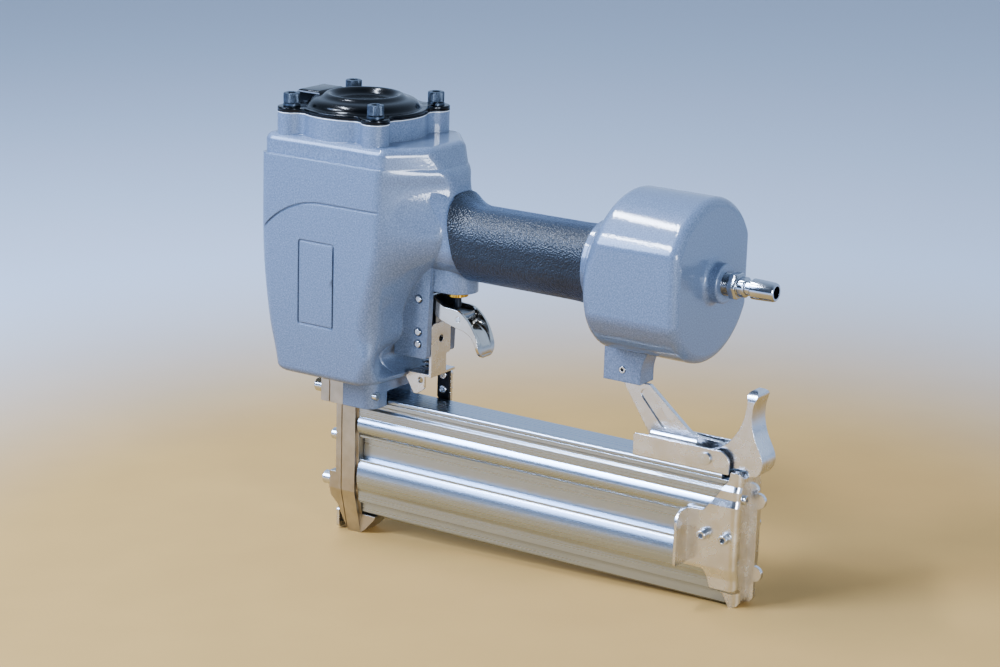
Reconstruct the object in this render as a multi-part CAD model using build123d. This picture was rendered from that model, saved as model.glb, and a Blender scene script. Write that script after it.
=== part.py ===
from build123d import *
import os
from math import cos, hypot, pi, sin, sqrt

# Pneumatic concrete nailer, in millimetres.
# The origin is the nose tip on the driver axis. +X runs to the air inlet and +Z up.
# The side with the bare badge panel faces -Y.

# Fits and gaps
RUN_FIT = 0.05  # radial gap of a shaft in its bore
SEAT_GAP = 0.05  # gap of a fixed piece in its seat
SLIDE_GAP = 0.3  # gap between pieces that slide past each other

# Main lengths
HANDLE_Z = 198.0  # axis of the airway in the handle, of the drum and of the air plug
MAG_REAR = 272.0  # rear end of the magazine channel

# Body casting
BODY_HALF = 42.5  # half the width across the side faces
BODY_BOTTOM = 106.0
BODY_TOP = 252.5
BODY_FRONT = 47.0  # driver axis to the front face
FRONT_KNEE_Z = 200.0  # the front face is upright above this height
FRONT_TUCK = 13.0  # draw-back of the front face at the bottom
FRONT_CORNER = 7.0
REAR_EDGE = 42.0  # driver axis to the rear edge of a side face
REAR_TUCK = 6.0
ROOT_CORNER = 13.0
STEP_Z = BODY_TOP - 12.5  # ledge between the side faces and the shoulder
STEP_INSET = 1.4
SHOULDER_ROUND = 5.0
BASE_ROUND = 4.0
ROOT_RISE = STEP_Z - HANDLE_Z
# Handle root: height, reach behind the driver axis, half width of its spine, rear corner radius
ROOT_STATIONS = (
    (BODY_BOTTOM + BASE_ROUND, 39.5, 15.0, 12.0),
    (134.0, 40.5, 15.3, 12.0),
    (148.0, 41.8, 15.6, 12.0),
    (158.0, 44.8, 16.0, 11.0),
    (168.0, 50.5, 16.3, 10.0),
    (178.0, 59.5, 17.0, 9.0),
    (188.0, 71.0, 18.0, 8.0),
    (HANDLE_Z, 75.0, 19.0, 8.0),
    (HANDLE_Z + 0.286 * ROOT_RISE, 75.2, 16.5, 8.0),
    (HANDLE_Z + 0.571 * ROOT_RISE, 74.6, 10.0, 8.0),
    (HANDLE_Z + 0.81 * ROOT_RISE, 73.2, 9.5, 7.0),
    (STEP_Z, 68.8, 12.3, 6.0),
)
SHOULDER_ROOT = (62.0, 18.2, 6.0)

# Lines cut in the side faces
LINE_WIDTH = 1.2
LINE_DEPTH = 0.8
ARCH_Z = STEP_Z - 25.7  # top of the arched line
ARCH_R = 56.0
BADGE_X = -3.2
BADGE_Z = 164.5
BADGE_SIZE = (27.0, 52.5)
BADGE_CORNER = 2.0

# Neck flange and cover screws
NECK_R = 39.0
EAR_R = 8.5
EAR_FILLET = 6.0
NECK_TOP = BODY_TOP + 12.9
BOLT_SPACING = 62.0
GASKET_THICK = 0.8
COVER_SHEET = 2.1
WASHER_THICK = 1.9
WASHER_R = 5.2

# Socket screws: head radius, head height, shank radius, key across flats
M6 = (5.0, 6.2, 3.0, 5.0)
M3 = (2.75, 2.0, 1.5, 2.0)
COVER_SCREW_LENGTH = 26.0
SOCKET_DEPTH_SHARE = 0.55

# Cover dome and exhaust duct
DOME_R = 33.0
DOME_CREST_R = 22.5
DOME_HEIGHT = 7.6
DISH_R = 15.5
DISH_DROP = 4.2
DUCT_END = 41.0  # driver axis to the duct mouth
DUCT_HALF = 13.0
DUCT_HEIGHT = 7.0
DUCT_ROUND = 2.5

# Cylinder, piston and head valve
CYLINDER_TOP = NECK_TOP - 43.4
BORE_R = 36.0  # upper part of the bore, round the head valve
BORE_STEP_Z = CYLINDER_TOP - 54.0
LOWER_BORE_R = 27.0  # lower part, where the body narrows
BORE_FLOOR = 118.0
CYLINDER_R = 21.0
CYLINDER_WALL = 3.5
COLLAR_HEIGHT = 8.0
UPPER_COLLAR_Z = CYLINDER_TOP - 36.0
SEAL_WIDTH = 3.0
SEAL_DEPTH = 2.4
BUMPER_HEIGHT = 14.0
BUMPER_BORE = 8.0
PISTON_HEIGHT = 15.0
PISTON_TOP_GAP = 1.0
PISTON_RING = (2.6, 2.5)  # depth, height
BLADE_THICK = 4.2
BLADE_WIDTH = 8.0
BLADE_TIP_Z = 75.0
BLADE_ROOT = 9.0  # how far the blade reaches into the piston
HEAD_VALVE_R = 30.0
HEAD_VALVE_BORE = 12.0
HEAD_VALVE_HEIGHT = 21.0
HEAD_SEAL_THICK = 2.5
HEAD_CAP_SKIRT = NECK_TOP - 33.4  # lower end of the head cap's skirt
HEAD_CAP_ROOF = NECK_TOP - 7.4
EXHAUST_R = 10.0
HEAD_SPRING = (21.0, 2.2, 4)  # coil radius, wire diameter, turns

# Handle, grip and drum
HANDLE_DROP = 1.8  # middle of the handle's section below its airway
HANDLE_HALF_W = 18.8
HANDLE_HALF_H = 19.9
HANDLE_CORNER = 16.0
HANDLE_START = 58.0  # front end of the handle inside the body
FLARE_START = 64.0
FLARE_LENGTH = 26.0
FLARE_RISE = 21.0  # swell of the flare on top
FLARE_SIDE = 2.0  # swell of the flare at the sides
AIRWAY_R = 13.0
GRIP_WALL = 2.4
GRIP_NOSE_X = 74.4  # front of the grip at its top
GRIP_NOSE_R = 180.0
GRIP_NOSE_Z = HANDLE_Z + 40.0
END_FLARE_LENGTH = 18.0
END_FLARE_RISE = 1.0
DRUM_REAR = MAG_REAR - 28.0
DRUM_FRONT = DRUM_REAR - 72.7
DRUM_HALF = BODY_HALF
DRUM_R = DRUM_HALF + 5.0
DRUM_FLAT_ROUND = 10.0
DRUM_EDGE = 5.5
DRUM_WALL = 6.0
CONE_R = 24.9  # front end of the cone between the grip and the drum
CONE_START = DRUM_FRONT + 2.1
CONE_SLOPE = 1.55  # growth of its radius for each millimetre of length
CONE_TILT = 4.2  # degrees that its lower side leans forward
CONE_ROUND = 7.0
CAVITY_FRONT = DRUM_FRONT + 19.7
SPIGOT_R = 17.0
SPIGOT_LENGTH = 12.0
BOSS_R = 11.5
BOSS_LENGTH = 8.0
BOSS_FILLET = 3.0
LUG_FRONT = DRUM_FRONT + 8.0
LUG_REAR = LUG_FRONT + 24.5
LUG_HALF = 7.5
LUG_BOTTOM = HANDLE_Z - 66.3
LUG_TOP = HANDLE_Z - 41.0
LUG_ROOT = HANDLE_Z - 32.0
LUG_SWEEP = 11.0
LUG_PIN = (LUG_FRONT + 12.4, LUG_BOTTOM + 7.2, 2.0)  # x, z, radius
LUG_PIN_BORE = 1.0
LUG_SLOT_WALL = 1.5

# Air plug
PLUG_THREAD_R = 6.5
PLUG_THREAD = 10.0
HEX_FLATS = 14.0
HEX_LENGTH = 5.0
PLUG_SHOULDER = 4.0  # plain length between the boss and the hexagon
PLUG_BARREL_R = 5.9
PLUG_NECK_R = 4.4
PLUG_COLLAR = 4.7
PLUG_NECK = 3.5
PLUG_BARREL = 14.5
PLUG_CHAMFER = 1.6
PLUG_BORE = 3.6

# Trigger, its valve and the cheeks
CHEEK_IN = 10.5
CHEEK_OUT = 15.0
CHEEK_REAR = (59.5, 61.8)  # bottom and top
CHEEK_BOTTOM = 122.8
CHEEK_TOP = 182.0
CHEEK_ROUND = 2.0
PIVOT_X = 53.2
PIVOT_Z = 159.5
PIN_R = 2.1
PIN_RELIEF = (0.7, 0.5)  # width and depth of the ring sunk round a pin
GUIDE_PIN_Z = (139.0, 131.5)
VALVE_X = 71.3
VALVE_BOSS_R = 12.4
VALVE_BOSS_FRONT = 59.6
VALVE_BOSS_BOTTOM = 165.0
VALVE_R = 6.5
VALVE_BOTTOM = 161.8
VALVE_TOP = 186.5
STEM_R = 2.4
STEM_TIP = 153.0
VALVE_FLOOR = 5.0  # thickness of the valve body below its spring room
VALVE_ROOF = 3.0
STEM_COLLAR = 2.0
VALVE_SPRING = (3.9, 1.0, 5)
TRIGGER_HALF = 9.0
TRIGGER_SHEET = 1.6
TRIGGER_EYE = 5.0
TRIGGER_TIP_Z = 127.3
TRIGGER_TIP_R = 7.0
TRIGGER_ROUND = 4.0  # inside corners of the channel
TRIGGER_TOP_EDGE = (  # x, z
    (57.7, 162.7),
    (62.6, 158.6),
    (69.0, 155.6),
    (76.5, 155.0),
    (83.0, 151.3),
    (88.6, 144.6),
    (92.0, 136.6),
    (93.2, 127.6),
)
TRIGGER_LOW_EDGE = ((91.6, 127.2), (90.4, 134.6), (87.1, 140.0), (76.0, 144.2), (66.0, 147.2), (58.0, 152.6))
TRIGGER_ROOM_X = 66.5  # front of the finger-side web between the plates
PIN_PROUD = 0.7
PIN_ROUND = 0.5
LEVER_PIN = (77.9, 149.7, 1.5)  # x, z, radius
LEVER_HALF = 6.0
LEVER_SHEET = 1.5
LEVER_EYE = 1.2  # wall round the lever's pin

# Safety yoke, contact and spring
YOKE_X = 58.4
YOKE_SHEET = 1.6
YOKE_HALF = 10.0
YOKE_TOP = 143.6
YOKE_WAIST_Z = 123.0
YOKE_WAIST = 5.8
YOKE_HOLE = (133.3, 2.2)  # height, radius
SHELF_Z = 112.0
SHELF_FRONT = 43.5
TAB_FRONT = 41.5
TAB_REAR = 55.2
TAB_BOTTOM = 98.8
TAB_HOLE = (52.2, 107.7, 1.9)  # x, z, radius
COUPLER_FRONT = 48.7
COUPLER_REAR = 57.3
COUPLER_IN = 13.5
COUPLER_BOTTOM = 90.4
LINK_SCREW_Z = (105.9, 96.9)
LINK_SCREW = (2.6, 1.1, 1.5, 2.0)
LINK_SHEET = 2.0
LINK_BOTTOM = 77.5
LINK_TOP = 87.6
LINK_ROUND = 3.0
NUT_FLATS = 5.5
NUT_THICK = 2.4
TIP_FRONT = 10.6  # driver axis to the front of the contact tip
TIP_HALF = 8.5
TIP_BOTTOM = 0.2
TIP_NECK = 5.0  # underside of the arm that runs round the nose
TIP_TOP = 13.0
SAFETY_SPRING = (3.2, 1.0, 6)
SAFETY_SPRING_X = 51.0

# Nose
SEAM_X = -2.2  # joint between the front cover and the back plate
SEAM_GROOVE = 0.7  # step along the front cover's edge at the joint
BACK_THICK = 9.7
COVER_THICK = 4.6
NOSE_HALF = 15.0
NOSE_WAIST_Z = 28.0  # the nose tapers below this height
TIP_WIDTH_HALF = 8.0
FLANGE_HALF = 28.0
FLANGE_BOTTOM = 88.0
FLANGE_COVER_THICK = 6.8
PAD_THICK = 4.8
PAD_BOTTOM = 23.0
PAD_TOP = 39.0
PAD_SLOPE = 8.0
COVER_EDGE = 0.6  # thickness of the cover's lower edge
NOSE_BOLT_PROUD = 0.8
TOE_LENGTH = 11.0
TOE_SLOPE = ((11.3, 2.8), (18.2, 10.4))
TOE_TOP = 12.2
NAIL_SLOT_HALF = 2.0
NAIL_SLOT_BOTTOM = 12.6
NAIL_SLOT_TOP = 82.0
NOSE_BOLT_Y = 23.0
NOSE_BOLT_Z = 96.0
NOSE_SCREW_Y = 10.5
NOSE_SCREW_Z = (32.5, 62.0)
NOSE_SCREW_LENGTH = 10.0
NOSE_BOLT = (4.25, 6.2, 2.5, 4.0)
NOSE_SCREW = (3.6, 5.0, 2.0, 3.0)
FRONT_PLATE_THICK = 1.2
FRONT_PLATE_HALF = 12.4
FRONT_PLATE_TOP = 87.6
FOOT_REAR = 29.5
FOOT_ROUND = 8.0
FOOT_NOTCH_TOP = 97.0

# Magazine
MAG_FRONT = 9.0
RAIL_TOP = 91.5
RAIL_HALF = 12.0
RAIL_SHEET = 2.6
RAIL_REAR = MAG_REAR - 10.0
RAIL_ROUND = 1.2
WEB_IN = 4.4
WEB_OUT = 6.7
WEB_BOTTOM = 70.0
SHOE_OUT = 8.9
SHOE_HEIGHT = 2.5
MAG_BOTTOM = 13.5
MAG_FLOOR = 2.0
LIP_HALF = 12.0
BAND_HALF = 12.7
LOBE_HALF = 14.8
PANEL_HALF = 7.2
KEEL_HALF = 8.2
GROOVE_HALF = 11.3
NAIL_ROOM_HALF = 4.6
CORE_R = 3.2  # round hollow inside the lower lobe
CORE_Y = 9.6
UPPER_LOBE = (77.0, 66.0)
LOWER_LOBE = (47.0, 29.0)
PANEL = (63.0, 50.0)
LIP_DEPTH = 2.6
LIP_GROOVE = 2.1  # width of the groove below the lip
BAND_RECESS = 0.7
KEEL_TOP = 20.4
KEEL_GROOVE = (22.8, 21.2)  # top and bottom of the groove above the keel

# End cap
CAP_FRONT = MAG_REAR - 30.0
CAP_REAR = MAG_REAR + 3.0
CAP_HALF = 16.0
CAP_TOP = 94.0
CAP_BOTTOM = 12.5
CAP_KEEL_HALF = 9.6
CAP_ROUND = 4.0
CAP_NOTCH = (8.5, 90.3)  # half width and floor of the notch for the latch hook
CAP_STEPS = ((13.4, 86.0), (14.8, 83.0), (14.8, 78.0), (16.0, 74.0), (16.0, 36.5), (14.2, 30.0), (14.2, 23.5))
CAP_KEEL_TOP = 20.5
# Edges of its side plates: x from the cap's rear face, z, corner radius
CAP_UPPER_EDGE = ((-21.5, 69.6, 3.0), (-13.0, 80.8, 1.5), (-11.0, 84.5, 0), (-7.8, 88.6, 0), (-6.5, 95.0, 0))
CAP_LOWER_EDGE = ((-5.5, 11.5, 0), (-10.5, 20.0, 2.0), (-16.0, 22.5, 2.0), (-20.3, 34.5, 3.0))
TAB_OUT = 12.5  # reach of the pull tab
PULL_TAB = (36.5, 69.0)  # bottom and top
PULL_SHEET = 1.6
PULL_ROUND = 7.0
CAP_SCREW_X = (MAG_REAR - 17.0, MAG_REAR - 3.0)
CAP_SCREW_Z = 55.7
CAP_SCREW_LENGTH = 8.0
CAP_SCREW = (2.8, 5.0, 2.0, 3.0)
CAP_SCREW_COLLAR = (3.6, 1.2)  # radius, height
FIN_HALF = 1.2
FIN_DEPTH = 5.0
FIN_EAR_Z = (76.0, 32.5)
FIN_EAR_R = 4.6
FIN_ENDS = (14.5, 86.0)
REAR_SCREW_Y = -8.5
REAR_SCREW_Z = 77.8
REAR_SCREW_LENGTH = 2.5

# Nail pusher
PUSHER_FRONT = 14.0
PUSHER_LENGTH = 24.0
PUSHER_HALF = 4.1
PUSHER_TOP = 85.0
PUSHER_KNEE = 44.0
PUSHER_SLOPE = 9.0
ROD_SEAT = 2.5  # depth of the rod's seat in the end cap
ROD_R = 1.7
ROD_Z = 30.0
ROD_FRONT = 13.0
PUSHER_SPRING = (2.9, 0.8, 24)

# Rear bracket and latch
ARM_HALF = 1.5
ARM_ROOT = 14.0  # height of the arm inside the lug
ARM_BEAD = (LUG_REAR + 7.2, LUG_BOTTOM - 13.7, -48.0)  # x, z, turn
BEAD_SIZE = (26.0, 6.4)
BEAD_DEPTH = 0.9
BASE_REAR = MAG_REAR - 6.0
BASE_FRONT = BASE_REAR - 62.5
BASE_OPEN = 14.0  # length of the base without a floor, under the latch
ARM_HEEL = 10.0  # height of the arm's front edge above the base's floor
ARM_REAR_EDGE = ((32.5, 107.0, 12.0), (53.5, 105.8, 4.0))  # x behind the base's front, z, corner radius
ARM_FOOT = (5.5, 36.0)  # front and rear end of the bent foot behind the base's front
ARM_FOOT_DROP = 2.5  # top of the foot below the base's upper edge
ARM_FOOT_SHEET = 1.6
ARM_BEND = 4.0
BASE_HALF = 12.0
BASE_SHEET = 1.5
BASE_TOP = 104.5
BASE_ROUND_R = 7.0
BASE_SCREW_X = (BASE_FRONT + 8.5, BASE_FRONT + 32.5)
BASE_SCREW_Y = 5.6
LATCH_PIN_X = MAG_REAR - 21.0
LATCH_PIN_Z = 98.3
LATCH_PIN_R = 2.8
LATCH_PIN_HEAD = (3.7, 1.4)  # radius, thickness
LATCH_HALF = 8.0
LATCH_SHEET = 1.6
LATCH_SPRING = (4.0, 0.9, 2)
LATCH_EYE = 4.6
# Outline of the lever: x from its pin, z
LATCH_FRONT_EDGE = ((6.0, 105.0), (13.0, 110.5), (19.0, 119.5), (22.6, 136.0))
LATCH_TIP = (25.6, 141.4)
LATCH_BACK_EDGE = ((28.2, 137.5), (25.8, 127.0), (29.0, 112.5), (33.8, 101.5), (30.5, 92.4))
LATCH_HOOK = ((26.2, 91.4), (25.2, 95.0), (7.0, 95.0))
LATCH_THUMB = 2.6  # thickness of the thumb plate
LATCH_THUMB_R = 6.5  # corners of the thumb plate's upper end
LATCH_THUMB_END = 9.0  # length of the solid end of the thumb plate
LATCH_ROOM = (21.0, 122.0)  # rear and top of the open space between the plates

BOTTOM = (Align.CENTER, Align.CENTER, Align.MIN)


def along_x(profile, start, end):
    """A profile drawn in (y, z), drawn out from x = start to x = end."""
    return extrude(Plane.YZ.offset(start) * profile, end - start)


def along_y(profile, start, end):
    """A profile drawn in (x, z), drawn out from y = start to y = end."""
    return extrude(Plane.XZ.offset(-end) * profile, end - start)


def along_z(profile, start, end):
    """A profile drawn in (x, y), drawn out from z = start to z = end."""
    return extrude(Plane.XY.offset(start) * profile, end - start)


def block(x0, x1, y0, y1, z0, z1):
    """A box between six planes."""
    return along_z(Pos((x0 + x1) / 2, (y0 + y1) / 2) * Rectangle(x1 - x0, y1 - y0), z0, z1)


def rod_x(y, z, x0, x1, radius):
    return along_x(Pos(y, z) * Circle(radius), x0, x1)


def rod_y(x, z, y0, y1, radius):
    return along_y(Pos(x, z) * Circle(radius), y0, y1)


def rod_z(x, y, z0, z1, radius):
    return along_z(Pos(x, y) * Circle(radius), z0, z1)


def ring_z(z0, z1, inner, outer):
    return along_z(Circle(outer) - Circle(inner), z0, z1)


def polygon(*points):
    return make_face(Polyline(*points, close=True))


def rounded(*corners):
    """A closed outline of (a, b, corner radius) points."""
    face = polygon(*[(a, b) for a, b, _ in corners])
    for a, b, radius in corners:
        if radius > 0:
            face = fillet(face.vertices().sort_by_distance((a, b))[0], radius)
    return face


def mirrored(*points):
    """A closed outline from the points of its +Y half, listed from top to bottom."""
    other = [(-a, b) for a, b in reversed(points)]
    return polygon(*points, *other)


def each_side(solid):
    """The solid and its mirror image across the middle plane."""
    return solid + mirror(solid, about=Plane.XZ)


def socket_screw(size, length, head_round=0.5):
    """A socket screw with its seat at z = 0 and its shank downwards."""
    head_r, head_h, shank_r, key = size
    head = Cylinder(head_r, head_h, align=BOTTOM)
    head = fillet(head.edges().sort_by(Axis.Z)[-1], head_round)
    depth = head_h * SOCKET_DEPTH_SHARE
    socket = along_z(RegularPolygon(key / 2, 6, major_radius=False), head_h - depth, head_h + 1)
    return head - socket + rod_z(0, 0, -length, 0, shank_r)


def turned_screw(size, length, head_towards):
    """A socket screw whose head points along +X, -X, +Y or -Y."""
    turn = {"+X": Rot(0, 90, 0), "-X": Rot(0, -90, 0), "+Y": Rot(-90, 0, 0), "-Y": Rot(90, 0, 0)}
    return turn[head_towards] * socket_screw(size, length)


def coil(radius, wire, turns, length, name):
    """A compression spring along +Z from z = 0, one tube on two arcs to each half turn."""
    lead = length - wire
    rise = lead / (turns * 2 * pi)
    scale = hypot(radius, rise)

    def point(angle):
        return Vector(radius * cos(angle), radius * sin(angle), wire / 2 + rise * angle)

    def heading(angle):
        return Vector(-radius * sin(angle), radius * cos(angle), rise) / scale

    edges = []
    for step in range(2 * turns):
        start, end = point(step * pi), point((step + 1) * pi)
        leave, arrive = heading(step * pi), heading((step + 1) * pi)
        span, both = end - start, leave + arrive
        slack = 2 * (1 - leave.dot(arrive))
        along = span.dot(both)
        reach = (sqrt(along**2 + slack * span.dot(span)) - along) / slack
        knot = (start + end + (leave - arrive) * reach) / 2
        middle = (end - arrive * reach) - (start + leave * reach)
        edges.append(Edge.make_tangent_arc(start, leave, knot))
        edges.append(Edge.make_tangent_arc(knot, middle, end))
    path = Wire(edges)
    section = Plane(origin=point(0), z_dir=heading(0)) * Circle(wire / 2)
    pitch = lead / turns
    print(name, "least gap between turns", round(pitch * radius / scale - wire, 2))
    return sweep(section, path=path)


# Body casting

def front_face(z):
    """Distance from the driver axis to the front face at a height."""
    span = FRONT_KNEE_Z - BODY_BOTTOM
    bend = (span**2 + FRONT_TUCK**2) / (2 * FRONT_TUCK)
    drop = max(0.0, FRONT_KNEE_Z - z)
    return BODY_FRONT - (bend - sqrt(bend**2 - drop**2))


def body_section(z, spine_x, spine_half, rear_corner, inset=0.0, rear_inset=0.0):
    """Level section of the body: flat sides, and a spine at the rear that becomes the handle."""
    half = BODY_HALF - inset
    front = -(front_face(z) - inset)
    rear = REAR_EDGE - REAR_TUCK * max(0.0, STEP_Z - z) / (STEP_Z - BODY_BOTTOM) - rear_inset
    outline = rounded(
        (front, -half, FRONT_CORNER),
        (rear, -half, rear_corner),
        (spine_x, -spine_half, ROOT_CORNER),
        (spine_x, spine_half, ROOT_CORNER),
        (rear, half, rear_corner),
        (front, half, FRONT_CORNER),
    )
    return Plane.XY.offset(z) * outline


def neck_outline(radius=NECK_R, ear=EAR_R):
    """Round flange with four screw ears."""
    reach = BOLT_SPACING / 2
    shape = Circle(radius) + [Pos(x, y) * Circle(ear) for x, y in square(reach)]
    return fillet(shape.vertices(), EAR_FILLET)


def square(reach):
    return [(-reach, -reach), (reach, -reach), (reach, reach), (-reach, reach)]


def handle_section(x, grow=0.0):
    """Upright section of the handle, which flares upwards into the body."""
    root = max(0.0, 1 - (x - FLARE_START) / FLARE_LENGTH)
    side = FLARE_SIDE * root**2 + grow
    rise = FLARE_RISE * root**2
    height = 2 * (HANDLE_HALF_H + grow) + rise
    shape = RectangleRounded(2 * (HANDLE_HALF_W + side), height, HANDLE_CORNER + side)
    return Plane.YZ.offset(x) * Pos(0, HANDLE_Z - HANDLE_DROP + rise / 2) * shape


def handle_solid(grow=0.0, start=HANDLE_START, end=DRUM_FRONT):
    """Handle between two stations, with the flare where it leaves the body."""
    first = max(start, FLARE_START)
    flare_end = FLARE_START + FLARE_LENGTH
    stations = [first + (flare_end - first) * i / 5 for i in range(6)]
    solid = loft([handle_section(x, grow) for x in stations])
    if start < FLARE_START:
        solid += extrude(handle_section(FLARE_START, grow), start - FLARE_START)
    return solid + extrude(handle_section(flare_end, grow), end - flare_end)


def side_lines():
    """Arched line on both sides and the bare badge outline on the -Y side."""
    centre_z = ARCH_Z - ARCH_R
    ring = Circle(ARCH_R + LINE_WIDTH / 2) - Circle(ARCH_R - LINE_WIDTH / 2)
    quarter = Pos(-ARCH_R, ARCH_R) * Rectangle(2 * ARCH_R, 2 * ARCH_R)
    run = Pos(ARCH_R / 2, ARCH_R) * Rectangle(ARCH_R, LINE_WIDTH)
    arch = Pos(0, centre_z) * ((ring & quarter) + run)
    width, height = BADGE_SIZE
    badge = RectangleRounded(width, height, BADGE_CORNER) - RectangleRounded(
        width - 2 * LINE_WIDTH, height - 2 * LINE_WIDTH, BADGE_CORNER - LINE_WIDTH
    )
    deep = BODY_HALF - LINE_DEPTH
    lines = each_side(along_y(arch, deep, BODY_HALF + 1))
    return lines + along_y(Pos(BADGE_X, BADGE_Z) * badge, -BODY_HALF - 1, -deep)


def body_shell():
    lower = loft([body_section(*station) for station in ROOT_STATIONS])
    _, base_x, base_half, base_corner = ROOT_STATIONS[0]
    rim = []
    for turn in (0, pi / 6, pi / 3, pi / 2):
        inset = BASE_ROUND * (1 - sin(turn))
        z = BODY_BOTTOM + BASE_ROUND * (1 - cos(turn))
        rim.append(body_section(z, base_x - inset, base_half - inset, base_corner, inset, inset))
    lower += loft(rim)
    _, step_x, step_half, step_corner = ROOT_STATIONS[-1]
    along = STEP_INSET * (step_x - REAR_EDGE) / (BODY_HALF - step_half)
    sections = [
        body_section(STEP_Z, step_x, step_half, step_corner, STEP_INSET, -along),
        body_section(BODY_TOP, *SHOULDER_ROOT, STEP_INSET, -along),
    ]
    shoulder = loft(sections, ruled=True)
    shoulder = fillet(shoulder.faces().sort_by(Axis.Z)[-1].edges(), SHOULDER_ROUND)
    return lower + shoulder


def cheeks():
    plate = rounded(
        (REAR_EDGE - REAR_TUCK, CHEEK_BOTTOM, 0),
        (CHEEK_REAR[0], CHEEK_BOTTOM, CHEEK_ROUND),
        (CHEEK_REAR[1], CHEEK_TOP, 0),
        (REAR_EDGE - REAR_TUCK, CHEEK_TOP, 0),
    )
    return each_side(along_y(plate, CHEEK_IN, CHEEK_OUT))


def valve_boss():
    """Boss for the trigger valve, with straight sides that run forward to the cheeks."""
    plan = Pos(VALVE_X, 0) * Circle(VALVE_BOSS_R)
    plan += Pos((VALVE_X + VALVE_BOSS_FRONT) / 2, 0) * Rectangle(VALVE_X - VALVE_BOSS_FRONT, 2 * VALVE_BOSS_R)
    return along_z(plan, VALVE_BOSS_BOTTOM, HANDLE_Z)


def trigger_pocket():
    """Room between the cheeks for the trigger's eye."""
    solid = rod_y(PIVOT_X, PIVOT_Z, -CHEEK_IN, CHEEK_IN, TRIGGER_EYE + 2 * SLIDE_GAP)
    top = PIVOT_Z + TRIGGER_EYE + 2 * SLIDE_GAP
    return solid + block(PIVOT_X, VALVE_BOSS_FRONT, -CHEEK_IN, CHEEK_IN, PIVOT_Z, top)


def foot():
    """Block under the body that the nose is bolted to, bridging the magazine rail."""
    front = SEAM_X + BACK_THICK
    plan = rounded(
        (front, -FLANGE_HALF, 0),
        (FOOT_REAR, -FLANGE_HALF, FOOT_ROUND),
        (FOOT_REAR, FLANGE_HALF, FOOT_ROUND),
        (front, FLANGE_HALF, 0),
    )
    solid = along_z(plan, FLANGE_BOTTOM, BODY_BOTTOM + BASE_ROUND)
    notch_half = RAIL_HALF + 2 * SLIDE_GAP
    return solid - block(front - 1, FOOT_REAR + 1, -notch_half, notch_half, FLANGE_BOTTOM - 1, FOOT_NOTCH_TOP)


def housing():
    solid = body_shell() + along_z(neck_outline(), BODY_TOP - SHOULDER_ROUND, NECK_TOP)
    solid += handle_solid() + rod_x(0, HANDLE_Z, DRUM_FRONT - 1, DRUM_FRONT + SPIGOT_LENGTH, SPIGOT_R)
    solid += valve_boss()
    solid += cheeks() + foot()
    solid -= trigger_pocket()
    solid -= rod_z(0, 0, BORE_FLOOR, BORE_STEP_Z + 1, LOWER_BORE_R)
    solid -= rod_z(0, 0, BORE_STEP_Z, NECK_TOP + 1, BORE_R)
    solid -= along_z(Rectangle(BLADE_THICK + 3, BLADE_WIDTH + 3), FLANGE_BOTTOM - 1, BORE_FLOOR + 1)
    solid -= rod_x(0, HANDLE_Z, 0, DRUM_FRONT + SPIGOT_LENGTH + 1, AIRWAY_R)
    solid -= rod_z(VALVE_X, 0, VALVE_BOSS_BOTTOM - 1, VALVE_TOP + SEAT_GAP, VALVE_R + SEAT_GAP)
    solid -= side_lines()
    screw_hole = M6[2] + SEAT_GAP
    hole_end = NECK_TOP + GASKET_THICK + COVER_SHEET + WASHER_THICK - COVER_SCREW_LENGTH - 1
    for x, y in square(BOLT_SPACING / 2):
        solid -= rod_z(x, y, hole_end, NECK_TOP + 1, screw_hole)
    width, depth = PIN_RELIEF
    for z in (PIVOT_Z, *GUIDE_PIN_Z):
        solid -= rod_y(PIVOT_X, z, -CHEEK_OUT - 1, CHEEK_OUT + 1, PIN_R + SEAT_GAP)
        solid -= each_side(rod_y(PIVOT_X, z, CHEEK_OUT - depth, CHEEK_OUT + 1, PIN_R + width))
    for y in (-NOSE_BOLT_Y, NOSE_BOLT_Y):
        solid -= rod_x(y, NOSE_BOLT_Z, 0, FOOT_REAR + 1, NOSE_BOLT[2] + SEAT_GAP)
    groove_x = DRUM_FRONT + SPIGOT_LENGTH / 2 - SEAL_WIDTH
    groove = along_x(Circle(SPIGOT_R + 1) - Circle(SPIGOT_R - SEAL_DEPTH), groove_x, groove_x + SEAL_WIDTH)
    return solid - Pos(0, 0, HANDLE_Z) * groove


# Cover

def dome(radius, lift, thin):
    """Dome of the cover: a raised ring round a shallow dish."""
    base = NECK_TOP + GASKET_THICK
    crest = base + COVER_SHEET + DOME_HEIGHT + lift
    dish = crest - DISH_DROP
    mid = (DISH_R + DOME_CREST_R) / 2
    profile = [
        Polyline((0, base), (0, dish), (DISH_R, dish)),
        ThreePointArc((DISH_R, dish), (mid + 1, dish + DISH_DROP * 0.68), (DOME_CREST_R, crest)),
        ThreePointArc((DOME_CREST_R, crest), (radius - thin, crest - 2.6), (radius, base + thin)),
        Polyline((radius, base + thin), (radius, base), (0, base)),
    ]
    return revolve(Plane.XZ * make_face(profile), Axis.Z)


def top_cover():
    base = NECK_TOP + GASKET_THICK
    face = base + COVER_SHEET
    plate = along_z(neck_outline(), base, face)
    duct = block(-DUCT_END, -DOME_CREST_R, -DUCT_HALF, DUCT_HALF, base, face + DUCT_HEIGHT)
    tops = duct.edges().filter_by(Axis.X).sort_by(Axis.Z)[-2:]
    duct = fillet(tops, DUCT_ROUND)
    solid = plate + dome(DOME_R, 0, 1.5) + duct
    hollow = dome(DOME_R - COVER_SHEET, -COVER_SHEET, 1.2)
    inner = DUCT_HALF - COVER_SHEET
    hollow += block(-DUCT_END - 1, -DOME_CREST_R, -inner, inner, face, face + DUCT_HEIGHT - COVER_SHEET)
    solid -= hollow
    for x, y in square(BOLT_SPACING / 2):
        solid -= rod_z(x, y, base - 1, face + 1, M6[2] + SEAT_GAP)
    return solid


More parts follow.
